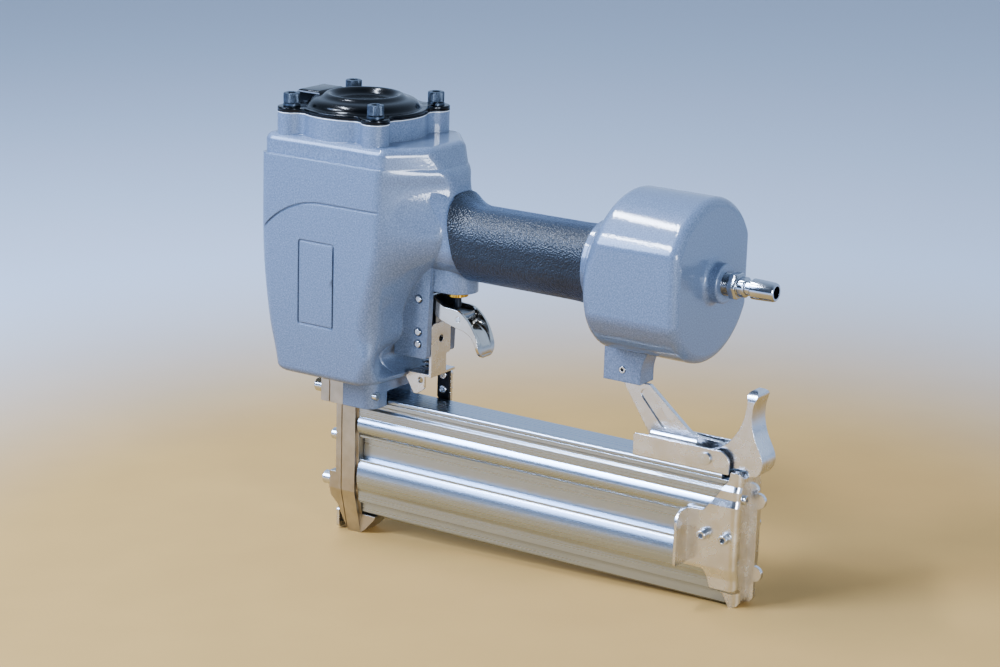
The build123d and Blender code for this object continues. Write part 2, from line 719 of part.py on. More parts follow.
def cover_gasket():
    solid = along_z(neck_outline() - Circle(DOME_R), NECK_TOP, NECK_TOP + GASKET_THICK)
    for x, y in square(BOLT_SPACING / 2):
        solid -= rod_z(x, y, NECK_TOP - 1, NECK_TOP + GASKET_THICK + 1, M6[2] + SEAT_GAP)
    return solid


def cover_washers():
    seat = NECK_TOP + GASKET_THICK + COVER_SHEET
    ring = ring_z(seat, seat + WASHER_THICK, M6[2] + SEAT_GAP, WASHER_R)
    return [Pos(x, y, 0) * ring for x, y in square(BOLT_SPACING / 2)]


def cover_screws():
    seat = NECK_TOP + GASKET_THICK + COVER_SHEET + WASHER_THICK
    screw = socket_screw(M6, COVER_SCREW_LENGTH)
    return [Pos(x, y, seat) * screw for x, y in square(BOLT_SPACING / 2)]


# Cylinder and piston

def collars():
    """Foot and outer radius of each collar on the cylinder sleeve."""
    return (BORE_FLOOR, LOWER_BORE_R - RUN_FIT), (UPPER_COLLAR_Z, BORE_R - RUN_FIT)


def cylinder_sleeve():
    outer = CYLINDER_R + CYLINDER_WALL
    solid = rod_z(0, 0, BORE_FLOOR, CYLINDER_TOP, outer)
    for z, collar in collars():
        solid += rod_z(0, 0, z, z + COLLAR_HEIGHT, collar)
        middle = z + COLLAR_HEIGHT / 2
        solid -= ring_z(middle - SEAL_WIDTH / 2, middle + SEAL_WIDTH / 2, collar - SEAL_DEPTH, collar + 1)
    for turn in range(8):
        vent_z = BORE_FLOOR + COLLAR_HEIGHT + 6
        solid -= Rot(0, 0, 45 * turn) * rod_x(0, vent_z, CYLINDER_R - 1, outer + 1, 1.8)
    return solid - rod_z(0, 0, BORE_FLOOR - 1, CYLINDER_TOP + 1, CYLINDER_R)


def cylinder_seals():
    half = SEAL_WIDTH / 2 - SEAT_GAP
    rings = []
    for z, collar in collars():
        middle = z + COLLAR_HEIGHT / 2
        inner = collar - SEAL_DEPTH + SEAT_GAP
        rings.append(ring_z(middle - half, middle + half, inner, collar + RUN_FIT / 2))
    return rings


def bumper():
    outer = CYLINDER_R - 2 * SEAT_GAP
    top = BORE_FLOOR + BUMPER_HEIGHT
    profile = polygon(
        (BUMPER_BORE, BORE_FLOOR), (outer, BORE_FLOOR), (outer, top - 5), (outer - 4, top), (BUMPER_BORE, top)
    )
    return revolve(Plane.XZ * profile, Axis.Z)


def piston_bottom():
    return CYLINDER_TOP - PISTON_TOP_GAP - PISTON_HEIGHT


def piston():
    bottom = piston_bottom()
    solid = rod_z(0, 0, bottom, bottom + PISTON_HEIGHT, CYLINDER_R - RUN_FIT)
    depth, height = PISTON_RING
    middle = bottom + PISTON_HEIGHT * 0.6
    solid -= ring_z(middle - height / 2, middle + height / 2, CYLINDER_R - RUN_FIT - depth, CYLINDER_R + 1)
    slot = Rectangle(BLADE_THICK + 2 * SEAT_GAP, BLADE_WIDTH + 2 * SEAT_GAP)
    solid -= along_z(slot, bottom - 1, bottom + BLADE_ROOT + SEAT_GAP)
    return solid - rod_z(0, 0, bottom + BLADE_ROOT + 2, bottom + PISTON_HEIGHT + 1, CYLINDER_R * 0.6)


def piston_ring():
    depth, height = PISTON_RING
    middle = piston_bottom() + PISTON_HEIGHT * 0.6
    half = height / 2 - SEAT_GAP
    inner = CYLINDER_R - depth
    return ring_z(middle - half, middle + half, inner, CYLINDER_R - RUN_FIT / 2)


def driver_blade():
    profile = Rectangle(BLADE_THICK, BLADE_WIDTH)
    return along_z(profile, BLADE_TIP_Z, piston_bottom() + BLADE_ROOT)


def head_cap():
    """Fixed cap that guides the head valve and carries its spring."""
    outer = BORE_R - 2 * RUN_FIT
    top = NECK_TOP
    solid = rod_z(0, 0, HEAD_CAP_SKIRT, top, outer)
    solid -= rod_z(0, 0, HEAD_CAP_SKIRT - 1, HEAD_CAP_ROOF, HEAD_VALVE_R)
    return solid - rod_z(0, 0, HEAD_CAP_ROOF - 1, top + 1, EXHAUST_R)


def head_valve_bottom():
    return CYLINDER_TOP + SLIDE_GAP + HEAD_SEAL_THICK


def head_valve():
    bottom = head_valve_bottom()
    top = bottom + HEAD_VALVE_HEIGHT
    solid = ring_z(bottom, top, HEAD_VALVE_BORE, HEAD_VALVE_R - RUN_FIT)
    radius, wire, _ = HEAD_SPRING
    return solid - ring_z(top - 6, top + 1, radius - wire, radius + wire)


def head_valve_seal():
    bottom = CYLINDER_TOP + SLIDE_GAP
    return ring_z(bottom, bottom + HEAD_SEAL_THICK, HEAD_VALVE_BORE, CYLINDER_R + CYLINDER_WALL + 2)


def head_valve_spring():
    radius, wire, turns = HEAD_SPRING
    seat = head_valve_bottom() + HEAD_VALVE_HEIGHT - 6
    length = HEAD_CAP_ROOF - seat - 2 * SEAT_GAP
    return Pos(0, 0, seat + SEAT_GAP) * coil(radius, wire, turns, length, "head_valve_spring")


# Grip, drum and air plug

def grip_sleeve():
    end = DRUM_FRONT - SLIDE_GAP
    start = GRIP_NOSE_X - 2
    outer = handle_solid(GRIP_WALL, start, end)
    flare = []
    for i in range(5):
        share = i / 4
        x = end - END_FLARE_LENGTH * (1 - share)
        flare.append(handle_section(x, GRIP_WALL + END_FLARE_RISE * share**2))
    outer += loft(flare)
    outer -= handle_solid(SEAT_GAP, start - 1, end + 1)
    return outer & rod_y(GRIP_NOSE_X + GRIP_NOSE_R, GRIP_NOSE_Z, -DRUM_R, DRUM_R, GRIP_NOSE_R)


def drum_seal():
    x = DRUM_FRONT + SPIGOT_LENGTH / 2 - SEAL_WIDTH
    ring = Circle(SPIGOT_R + RUN_FIT / 2) - Circle(SPIGOT_R - SEAL_DEPTH + SEAT_GAP)
    return Pos(0, 0, HANDLE_Z) * along_x(ring, x + SEAT_GAP, x + SEAL_WIDTH - SEAT_GAP)


def drum_profile(inset=0.0):
    half = DRUM_HALF - inset
    shape = Circle(DRUM_R - inset) & Rectangle(2 * half, 2 * DRUM_R)
    return fillet(shape.vertices(), DRUM_FLAT_ROUND)


def lug():
    sweep_end = LUG_REAR + LUG_SWEEP
    outline = [
        Polyline((LUG_REAR, LUG_BOTTOM + 6), (LUG_REAR, LUG_BOTTOM), (LUG_FRONT, LUG_BOTTOM)),
        Polyline((LUG_FRONT, LUG_BOTTOM), (LUG_FRONT, LUG_ROOT), (sweep_end, LUG_ROOT), (sweep_end, LUG_TOP)),
        TangentArc((LUG_REAR, LUG_BOTTOM + 6), (sweep_end, LUG_TOP), tangent=(0, 1)),
    ]
    return along_y(make_face(outline), -LUG_HALF, LUG_HALF)


def drum_cone():
    """Leaning solid of revolution that shapes the front of the drum."""
    outer = 1.25 * DRUM_R
    length = (outer - CONE_R) / CONE_SLOPE
    end = 1.25 * (DRUM_REAR - CONE_START)
    profile = polygon((0, 0), (0, CONE_R), (length, outer), (end, outer), (end, 0))
    return Pos(CONE_START, 0, 0) * Rot(0, CONE_TILT, 0) * revolve(Plane.XZ * profile, Axis.X)


def drum_front_edges(solid):
    """Edges where the cone meets the sides of the drum."""
    found = []
    for edge in solid.faces().filter_by(GeomType.CONE).edges():
        middle = edge @ 0.5
        if hypot(middle.Y, middle.Z) > DRUM_HALF - 1:
            found.append(edge)
    return found


def reservoir_drum():
    axis = Pos(0, 0, HANDLE_Z)
    solid = along_x(drum_profile(), DRUM_FRONT, DRUM_REAR)
    solid = fillet(solid.faces().sort_by(Axis.X)[-1].edges(), DRUM_EDGE)
    solid &= drum_cone()
    solid = fillet(drum_front_edges(solid), CONE_ROUND)
    solid += along_x(Circle(CONE_R), DRUM_FRONT, CAVITY_FRONT)
    solid += along_x(Circle(BOSS_R), DRUM_REAR - 1, DRUM_REAR + BOSS_LENGTH)
    rings = solid.edges().filter_by(GeomType.CIRCLE)
    solid = fillet(rings.filter_by_position(Axis.X, DRUM_REAR - 0.1, DRUM_REAR + 0.1), BOSS_FILLET)
    solid = fillet(solid.edges().filter_by(GeomType.CIRCLE).sort_by(Axis.X)[-1], 1.0)
    solid = axis * solid + lug()
    solid -= axis * along_x(drum_profile(DRUM_WALL), CAVITY_FRONT, DRUM_REAR - DRUM_WALL)
    solid -= axis * along_x(Circle(SPIGOT_R + RUN_FIT), DRUM_FRONT - 1, CAVITY_FRONT + 1)
    thread = Circle(PLUG_THREAD_R + SEAT_GAP)
    solid -= axis * along_x(thread, DRUM_REAR - DRUM_WALL - 1, DRUM_REAR + BOSS_LENGTH + 1)
    x, z, radius = LUG_PIN
    solid -= rod_y(x, z, -LUG_HALF - 1, LUG_HALF + 1, radius + SEAT_GAP)
    slot = ARM_HALF + SEAT_GAP
    slot_rear = LUG_REAR - LUG_SLOT_WALL
    return solid - block(LUG_FRONT + 3, slot_rear, -slot, slot, LUG_BOTTOM - 1, arm_top() + SEAT_GAP)


def air_plug():
    """Quick plug: threaded end, hexagon, collar, catch groove and barrel with a bevelled end."""
    boss_end = DRUM_REAR + BOSS_LENGTH
    hex_start = boss_end + PLUG_SHOULDER
    hex_end = hex_start + HEX_LENGTH
    collar_end = hex_end + PLUG_COLLAR
    neck_end = collar_end + PLUG_NECK
    end = neck_end + PLUG_BARREL
    profile = polygon(
        (boss_end - PLUG_THREAD, 0),
        (boss_end - PLUG_THREAD, PLUG_THREAD_R),
        (hex_end, PLUG_THREAD_R),
        (hex_end, PLUG_BARREL_R),
        (collar_end - 1, PLUG_BARREL_R),
        (collar_end, PLUG_NECK_R),
        (neck_end - 1, PLUG_NECK_R),
        (neck_end, PLUG_BARREL_R),
        (end - PLUG_CHAMFER, PLUG_BARREL_R),
        (end, PLUG_BARREL_R - PLUG_CHAMFER / 2),
        (end, 0),
    )
    body = revolve(Plane.XZ * profile, Axis.X)
    body += along_x(RegularPolygon(HEX_FLATS / 2, 6, major_radius=False), hex_start, hex_end)
    body -= along_x(Circle(PLUG_BORE), boss_end - PLUG_THREAD - 1, end + 1)
    return Pos(0, 0, HANDLE_Z) * body


# Trigger and its valve

def trigger_outline():
    """Side plate: an eye at the pivot, then a curved horn with its tip downwards."""
    over, under = (PIVOT_X, PIVOT_Z + TRIGGER_EYE), (PIVOT_X, PIVOT_Z - TRIGGER_EYE)
    edges = [
        Spline(*TRIGGER_TOP_EDGE),
        Line(TRIGGER_TOP_EDGE[-1], TRIGGER_LOW_EDGE[0]),
        Spline(*TRIGGER_LOW_EDGE),
        Line(TRIGGER_LOW_EDGE[-1], under),
        ThreePointArc(under, (PIVOT_X - TRIGGER_EYE, PIVOT_Z), over),
        Line(over, TRIGGER_TOP_EDGE[0]),
    ]
    return make_face(edges)


def trigger():
    """Pressed channel: two horn-shaped plates joined along the finger side."""
    solid = along_y(trigger_outline(), -TRIGGER_HALF, TRIGGER_HALF)
    inner = TRIGGER_HALF - TRIGGER_SHEET
    high = PIVOT_Z + 2 * TRIGGER_EYE
    tip_x, tip_z = TRIGGER_LOW_EDGE[0]
    root_x, root_z = TRIGGER_LOW_EDGE[-1]
    clear = tip_x + 10
    around = Polyline((root_x, root_z), (root_x, high), (clear, high), (clear, tip_z), (tip_x, tip_z))
    room = make_face([Spline(*TRIGGER_LOW_EDGE), around])
    room = along_y(room, -inner, inner)
    corners = room.edges().filter_by(GeomType.BSPLINE)
    solid -= Pos(TRIGGER_SHEET * 0.7, 0, TRIGGER_SHEET) * fillet(corners, TRIGGER_ROUND)
    solid -= block(PIVOT_X - 2 * TRIGGER_EYE, TRIGGER_ROOM_X, -inner, inner, TRIGGER_TIP_Z, high)
    solid -= rod_y(PIVOT_X, PIVOT_Z, -TRIGGER_HALF - 1, TRIGGER_HALF + 1, PIN_R + RUN_FIT)
    x, z, radius = LEVER_PIN
    solid -= rod_y(x, z, -TRIGGER_HALF - 1, TRIGGER_HALF + 1, radius + SEAT_GAP)
    envelope = rounded(
        (-TRIGGER_HALF, TRIGGER_TIP_Z, TRIGGER_TIP_R),
        (TRIGGER_HALF, TRIGGER_TIP_Z, TRIGGER_TIP_R),
        (TRIGGER_HALF, high, 0),
        (-TRIGGER_HALF, high, 0),
    )
    return solid & along_x(envelope, PIVOT_X - 2 * TRIGGER_EYE, clear)


def cross_pin(z):
    """Pin with rounded ends through both cheeks."""
    reach = CHEEK_OUT + PIN_PROUD
    pin = rod_y(PIVOT_X, z, -reach, reach, PIN_R)
    return fillet(pin.edges().filter_by(GeomType.CIRCLE), PIN_ROUND)


def trigger_pin():
    return cross_pin(PIVOT_Z)


def cheek_pins():
    return [cross_pin(z) for z in GUIDE_PIN_Z]


def trigger_lever():
    """Arm inside the trigger, bent down at its free end, where the safety yoke lifts it."""
    x, z, radius = LEVER_PIN
    top = STEM_TIP - SLIDE_GAP
    solid = block(YOKE_X, x + 2, -LEVER_HALF, LEVER_HALF, top - LEVER_SHEET, top)
    solid += block(YOKE_X, YOKE_X + LEVER_SHEET, -LEVER_HALF, LEVER_HALF, YOKE_TOP + SLIDE_GAP, top)
    solid += rod_y(x, z, -LEVER_HALF, LEVER_HALF, radius + LEVER_EYE)
    return solid - rod_y(x, z, -LEVER_HALF - 1, LEVER_HALF + 1, radius + RUN_FIT)


def trigger_lever_pin():
    x, z, radius = LEVER_PIN
    return rod_y(x, z, -TRIGGER_HALF, TRIGGER_HALF, radius)


def trigger_valve_body():
    solid = rod_z(VALVE_X, 0, VALVE_BOTTOM, VALVE_TOP, VALVE_R)
    solid -= rod_z(VALVE_X, 0, VALVE_BOTTOM - 1, VALVE_TOP + 1, STEM_R + RUN_FIT)
    radius, wire, _ = VALVE_SPRING
    return solid - rod_z(VALVE_X, 0, VALVE_BOTTOM + VALVE_FLOOR, VALVE_TOP - VALVE_ROOF, radius + wire)


def stem_collar():
    """Underside of the collar on the valve stem."""
    return VALVE_BOTTOM + VALVE_FLOOR + SLIDE_GAP


def trigger_valve_stem():
    """Stem with a rounded tip, and a collar that its spring pushes on."""
    tip = STEM_TIP + STEM_R
    solid = rod_z(VALVE_X, 0, tip, VALVE_TOP - VALVE_ROOF, STEM_R) + Pos(VALVE_X, 0, tip) * Sphere(STEM_R)
    radius, wire, _ = VALVE_SPRING
    return solid + rod_z(VALVE_X, 0, stem_collar(), stem_collar() + STEM_COLLAR, radius + wire - SLIDE_GAP)


def trigger_valve_spring():
    radius, wire, turns = VALVE_SPRING
    seat = stem_collar() + STEM_COLLAR + SEAT_GAP
    length = VALVE_TOP - VALVE_ROOF - seat - SEAT_GAP
    return Pos(VALVE_X, 0, seat) * coil(radius, wire, turns, length, "trigger_valve_spring")


# Safety: the contact at the nose lifts the yoke under the trigger

def safety_yoke():
    rear = YOKE_X + YOKE_SHEET
    bottom = SHELF_Z - YOKE_SHEET
    web = rounded(
        (-YOKE_HALF, YOKE_TOP, 2.5),
        (YOKE_HALF, YOKE_TOP, 2.5),
        (YOKE_HALF, YOKE_WAIST_Z, 1.5),
        (YOKE_WAIST, YOKE_WAIST_Z, 1.0),
        (YOKE_WAIST, bottom, 0),
        (-YOKE_HALF, bottom, 0),
    )
    height, radius = YOKE_HOLE
    solid = along_x(web - Pos(0, height) * Circle(radius), YOKE_X, rear)
    solid += block(SHELF_FRONT, rear, -YOKE_HALF, YOKE_HALF, bottom, SHELF_Z)
    solid += block(COUPLER_FRONT, rear, YOKE_HALF - 1, link_inner(), bottom, SHELF_Z)
    tab = rounded(
        (TAB_FRONT, SHELF_Z - 3.5, 0),
        (TAB_FRONT + 3, SHELF_Z, 0),
        (TAB_REAR, SHELF_Z, 0),
        (TAB_REAR, TAB_BOTTOM + 4, 1.0),
        (TAB_REAR - 5, TAB_BOTTOM, 1.0),
        (TAB_FRONT + 6, TAB_BOTTOM, 1.0),
    )
    x, z, hole = TAB_HOLE
    return solid + along_y(tab - Pos(x, z) * Circle(hole), -YOKE_HALF, -YOKE_HALF + YOKE_SHEET)


def link_inner():
    """Inner face of the strip that runs along the +Y side of the nose and magazine."""
    return NOSE_HALF + SLIDE_GAP


def coupler_middle():
    return (COUPLER_FRONT + COUPLER_REAR) / 2


def safety_coupler():
    bottom = SHELF_Z - YOKE_SHEET
    plate = rounded(
        (COUPLER_FRONT, COUPLER_BOTTOM, 2),
        (COUPLER_REAR, COUPLER_BOTTOM, 2),
        (COUPLER_REAR, bottom, 0),
        (COUPLER_FRONT, bottom, 0),
    )
    solid = along_y(plate, COUPLER_IN, link_inner())
    for z in LINK_SCREW_Z:
        solid -= rod_y(coupler_middle(), z, COUPLER_IN - 1, link_inner() + 1, LINK_SCREW[2] + SEAT_GAP)
    return solid


def safety_contact():
    """Pressed strip from the contact tip, round the nose side, to the coupler."""
    inner = link_inner()
    outer = inner + LINK_SHEET
    rear_face = -TIP_FRONT + LINK_SHEET
    strip = rounded(
        (-TIP_FRONT, TIP_NECK, 0),
        (rear_face + 6, TIP_NECK, LINK_ROUND),
        (rear_face + 6, LINK_BOTTOM, LINK_ROUND),
        (COUPLER_REAR, LINK_BOTTOM, LINK_ROUND),
        (COUPLER_REAR, SHELF_Z - YOKE_SHEET, LINK_ROUND),
        (COUPLER_FRONT, SHELF_Z - YOKE_SHEET, LINK_ROUND),
        (COUPLER_FRONT, LINK_TOP, LINK_ROUND),
        (-TIP_FRONT, LINK_TOP, LINK_ROUND),
    )
    solid = along_y(strip, inner, outer)
    tip = rounded(
        (-TIP_HALF, TIP_BOTTOM, 2),
        (TIP_HALF, TIP_BOTTOM, 2),
        (TIP_HALF, TIP_NECK, 1.5),
        (outer, TIP_NECK, 0),
        (outer, TIP_TOP, 0),
        (-TIP_HALF, TIP_TOP, 2),
    )
    solid += along_x(tip, -TIP_FRONT, rear_face)
    for z in LINK_SCREW_Z:
        solid -= rod_y(coupler_middle(), z, inner - 1, outer + 1, LINK_SCREW[2] + SEAT_GAP)
    return solid


def link_screws():
    length = link_inner() + LINK_SHEET + NUT_THICK - COUPLER_IN
    screw = turned_screw(LINK_SCREW, length, "-Y")
    return [Pos(coupler_middle(), COUPLER_IN, z) * screw for z in LINK_SCREW_Z]


def link_nuts():
    start = link_inner() + LINK_SHEET
    hexagon = RegularPolygon(NUT_FLATS / 2, 6, major_radius=False) - Circle(LINK_SCREW[2] + SEAT_GAP)
    return [along_y(Pos(coupler_middle(), z) * hexagon, start, start + NUT_THICK) for z in LINK_SCREW_Z]


def safety_spring():
    radius, wire, turns = SAFETY_SPRING
    length = GUIDE_PIN_Z[-1] - PIN_R - SHELF_Z - 2 * SEAT_GAP
    return Pos(SAFETY_SPRING_X, 0, SHELF_Z + SEAT_GAP) * coil(radius, wire, turns, length, "safety_spring")


# Nose

def nose_outline(tip_z):
    """Front view of a nose plate: flange, straight sides and a tapered tip."""
    return mirrored(
        (FLANGE_HALF, BODY_BOTTOM),
        (FLANGE_HALF, FLANGE_BOTTOM),
        (NOSE_HALF, FLANGE_BOTTOM),
        (NOSE_HALF, NOSE_WAIST_Z),
        (TIP_WIDTH_HALF, tip_z),
    )


def nose_screw_holes():
    """Place and radius of the four screw holes through the front cover."""
    low, high = NOSE_SCREW_Z
    holes = []
    for y in (-NOSE_SCREW_Y, NOSE_SCREW_Y):
        holes.append((y, low, NOSE_BOLT[2] + SEAT_GAP))
        holes.append((y, high, NOSE_SCREW[2] + SEAT_GAP))
    return holes


def nose_back_plate():
    """Plate with the driver channel and the toe under the magazine."""
    rear = SEAM_X + BACK_THICK
    solid = along_x(nose_outline(0), SEAM_X, rear)
    toe = polygon((rear - 1, 0), (rear, 0), *TOE_SLOPE, (rear + TOE_LENGTH, TOE_TOP), (rear - 1, TOE_TOP))
    solid += along_y(toe, -TIP_WIDTH_HALF, TIP_WIDTH_HALF)
    channel = BLADE_WIDTH / 2 + RUN_FIT
    depth = BLADE_THICK / 2 + RUN_FIT
    solid -= block(SEAM_X - 1, depth, -channel, channel, -1, BODY_BOTTOM + 1)
    solid -= block(0, rear + 1, -NAIL_SLOT_HALF, NAIL_SLOT_HALF, NAIL_SLOT_BOTTOM, NAIL_SLOT_TOP)
    for y in (-NOSE_BOLT_Y, NOSE_BOLT_Y):
        solid -= rod_x(y, NOSE_BOLT_Z, SEAM_X - 1, rear + 1, NOSE_BOLT[2] + SEAT_GAP)
    for y, z, radius in nose_screw_holes():
        solid -= rod_x(y, z, SEAM_X - 1, SEAM_X + NOSE_SCREW_LENGTH - COVER_THICK + 1, radius)
    return solid


def nose_front_cover():
    front = SEAM_X - COVER_THICK
    joint = SEAM_X - RUN_FIT
    step = joint - SEAM_GROOVE
    solid = along_x(nose_outline(1.0), front, step)
    solid += along_x(offset(nose_outline(1.0), -SEAM_GROOVE), step, joint)
    flange = SEAM_X - FLANGE_COVER_THICK
    solid += block(flange, step, -FLANGE_HALF, FLANGE_HALF, FLANGE_BOTTOM, BODY_BOTTOM)
    slope_end = PAD_BOTTOM - PAD_SLOPE
    pad = polygon(
        (front + 1, slope_end),
        (front - PAD_THICK, PAD_BOTTOM),
        (front - PAD_THICK, PAD_TOP),
        (front + 1, PAD_TOP),
    )
    solid += along_y(pad, -NOSE_HALF, NOSE_HALF)
    bevel = polygon(
        (front - 1, -1),
        (SEAM_X - COVER_EDGE, -1),
        (SEAM_X - COVER_EDGE, 1.0),
        (front - 1, slope_end + 2),
    )
    solid -= along_y(bevel, -NOSE_HALF - 1, NOSE_HALF + 1)
    beyond = NOSE_HALF + 1
    corner = polygon((beyond, NOSE_WAIST_Z), (NOSE_HALF, NOSE_WAIST_Z), (TIP_WIDTH_HALF, 0), (beyond, 0))
    solid -= each_side(along_x(corner, front - PAD_THICK - 1, SEAM_X))
    for y in (-NOSE_BOLT_Y, NOSE_BOLT_Y):
        solid -= rod_x(y, NOSE_BOLT_Z, flange - 1, SEAM_X + 1, NOSE_BOLT[2] + SEAT_GAP)
    for y, z, radius in nose_screw_holes():
        solid -= rod_x(y, z, front - PAD_THICK - 1, SEAM_X + 1, radius)
    return solid


def nose_bolts():
    seat = SEAM_X - FLANGE_COVER_THICK
    length = FOOT_REAR + NOSE_BOLT_PROUD - seat
    bolt = turned_screw(NOSE_BOLT, length, "-X")
    return [Pos(seat, y, NOSE_BOLT_Z) * bolt for y in (-NOSE_BOLT_Y, NOSE_BOLT_Y)]


def nose_cover_screws():
    front = SEAM_X - COVER_THICK
    low, high = NOSE_SCREW_Z
    long_screw = turned_screw(NOSE_BOLT, NOSE_SCREW_LENGTH + PAD_THICK, "-X")
    short_screw = turned_screw(NOSE_SCREW, NOSE_SCREW_LENGTH, "-X")
    screws = []
    for y in (-NOSE_SCREW_Y, NOSE_SCREW_Y):
        screws.append(Pos(front - PAD_THICK, y, low) * long_screw)
        screws.append(Pos(front, y, high) * short_screw)
    return screws


def magazine_front_plate():
    front = SEAM_X + BACK_THICK
    profile = mirrored(
        (FRONT_PLATE_HALF, FRONT_PLATE_TOP),
        (FRONT_PLATE_HALF, NOSE_WAIST_Z),
        (TIP_WIDTH_HALF, TOE_TOP + SEAT_GAP),
    )
    slot = Pos(0, (NAIL_SLOT_BOTTOM + NAIL_SLOT_TOP) / 2) * Rectangle(
        2 * NAIL_SLOT_HALF, NAIL_SLOT_TOP - NAIL_SLOT_BOTTOM
    )
    return along_x(profile - slot, front, front + FRONT_PLATE_THICK)


# Magazine

def fixed_rail():
    """Top rail: a flange over the channel and two webs with shoes that the channel hangs on."""
    low = RAIL_TOP - RAIL_SHEET
    flange = rounded(
        (-RAIL_HALF, low, 0),
        (RAIL_HALF, low, 0),
        (RAIL_HALF, RAIL_TOP, RAIL_ROUND),
        (-RAIL_HALF, RAIL_TOP, RAIL_ROUND),
    )
    web = polygon(
        (WEB_IN, low + 1),
        (WEB_OUT, low + 1),
        (WEB_OUT, WEB_BOTTOM + SHOE_HEIGHT),
        (SHOE_OUT, WEB_BOTTOM + SHOE_HEIGHT),
        (SHOE_OUT, WEB_BOTTOM),
        (WEB_IN, WEB_BOTTOM),
    )
    start = SEAM_X + BACK_THICK + FRONT_PLATE_THICK
    solid = along_x(flange + web + mirror(web, about=Plane.YZ), start, RAIL_REAR)
    for x in BASE_SCREW_X:
        for y in (-BASE_SCREW_Y, BASE_SCREW_Y):
            solid -= rod_z(x, y, low - 1, RAIL_TOP + 1, M3[2] + SEAT_GAP)
    return solid


def channel_half():
    """+Y half of the channel's outside, from the top edge down to the keel."""
    top = RAIL_TOP - RAIL_SHEET - SLIDE_GAP
    up_hi, up_lo = UPPER_LOBE
    low_hi, low_lo = LOWER_LOBE
    panel_hi, panel_lo = PANEL
    lip = BAND_HALF - BAND_RECESS
    groove = top - LIP_DEPTH - LIP_GROOVE
    keel_hi, keel_lo = KEEL_GROOVE
    return [
        Polyline(
            (0, top),
            (LIP_HALF, top),
            (LIP_HALF, top - LIP_DEPTH),
            (GROOVE_HALF, top - LIP_DEPTH - 0.6),
            (GROOVE_HALF, groove),
            (BAND_HALF, groove - 1.3),
            (BAND_HALF, up_hi),
        ),
        ThreePointArc((BAND_HALF, up_hi), (LOBE_HALF, (up_hi + up_lo) / 2), (BAND_HALF, up_lo)),
        Polyline(
            (BAND_HALF, up_lo),
            (lip, up_lo - 0.8),
            (lip, panel_hi + 0.6),
            (PANEL_HALF, panel_hi),
            (PANEL_HALF, panel_lo),
            (lip, panel_lo - 0.6),
            (lip, low_hi + 0.8),
            (BAND_HALF, low_hi),
        ),
        ThreePointArc((BAND_HALF, low_hi), (LOBE_HALF, (low_hi + low_lo) / 2), (BAND_HALF, low_lo)),
        Polyline(
            (BAND_HALF, low_lo),
            (BAND_HALF, keel_hi),
            (GROOVE_HALF, keel_hi - 0.6),
            (GROOVE_HALF, keel_lo),
            (KEEL_HALF, KEEL_TOP),
            (KEEL_HALF, MAG_BOTTOM + 1),
            (KEEL_HALF - 1, MAG_BOTTOM),
            (0, MAG_BOTTOM),
            (0, top),
        ),
    ]


def channel_outline():
    half = make_face(channel_half())
    return half + mirror(half, about=Plane.YZ)


def magazine_channel():
    top = RAIL_TOP
    room = WEB_BOTTOM - SLIDE_GAP
    hollow = Pos(0, (MAG_BOTTOM + MAG_FLOOR + top) / 2) * Rectangle(
        2 * NAIL_ROOM_HALF, top - MAG_BOTTOM - MAG_FLOOR
    )
    hollow += Pos(0, (room + top) / 2) * Rectangle(2 * (WEB_OUT + SLIDE_GAP), top - room)
    shoe = SHOE_HEIGHT + 2 * SLIDE_GAP
    hollow += Pos(0, room + shoe / 2) * Rectangle(2 * (SHOE_OUT + SLIDE_GAP), shoe)
    core_z = sum(LOWER_LOBE) / 2
    hollow += [Pos(side * CORE_Y, core_z) * Circle(CORE_R) for side in (-1, 1)]
    solid = along_x(channel_outline() - hollow, MAG_FRONT, MAG_REAR)
    for x in CAP_SCREW_X:
        solid -= rod_y(x, CAP_SCREW_Z, -LOBE_HALF - 1, LOBE_HALF + 1, CAP_SCREW[2] + SEAT_GAP)
    return solid


def cap_outline():
    top_half = CAP_STEPS[0][0]
    keel = (CAP_KEEL_HALF, CAP_KEEL_TOP), (CAP_KEEL_HALF, CAP_BOTTOM)
    return mirrored((top_half, CAP_TOP), *CAP_STEPS, *keel)


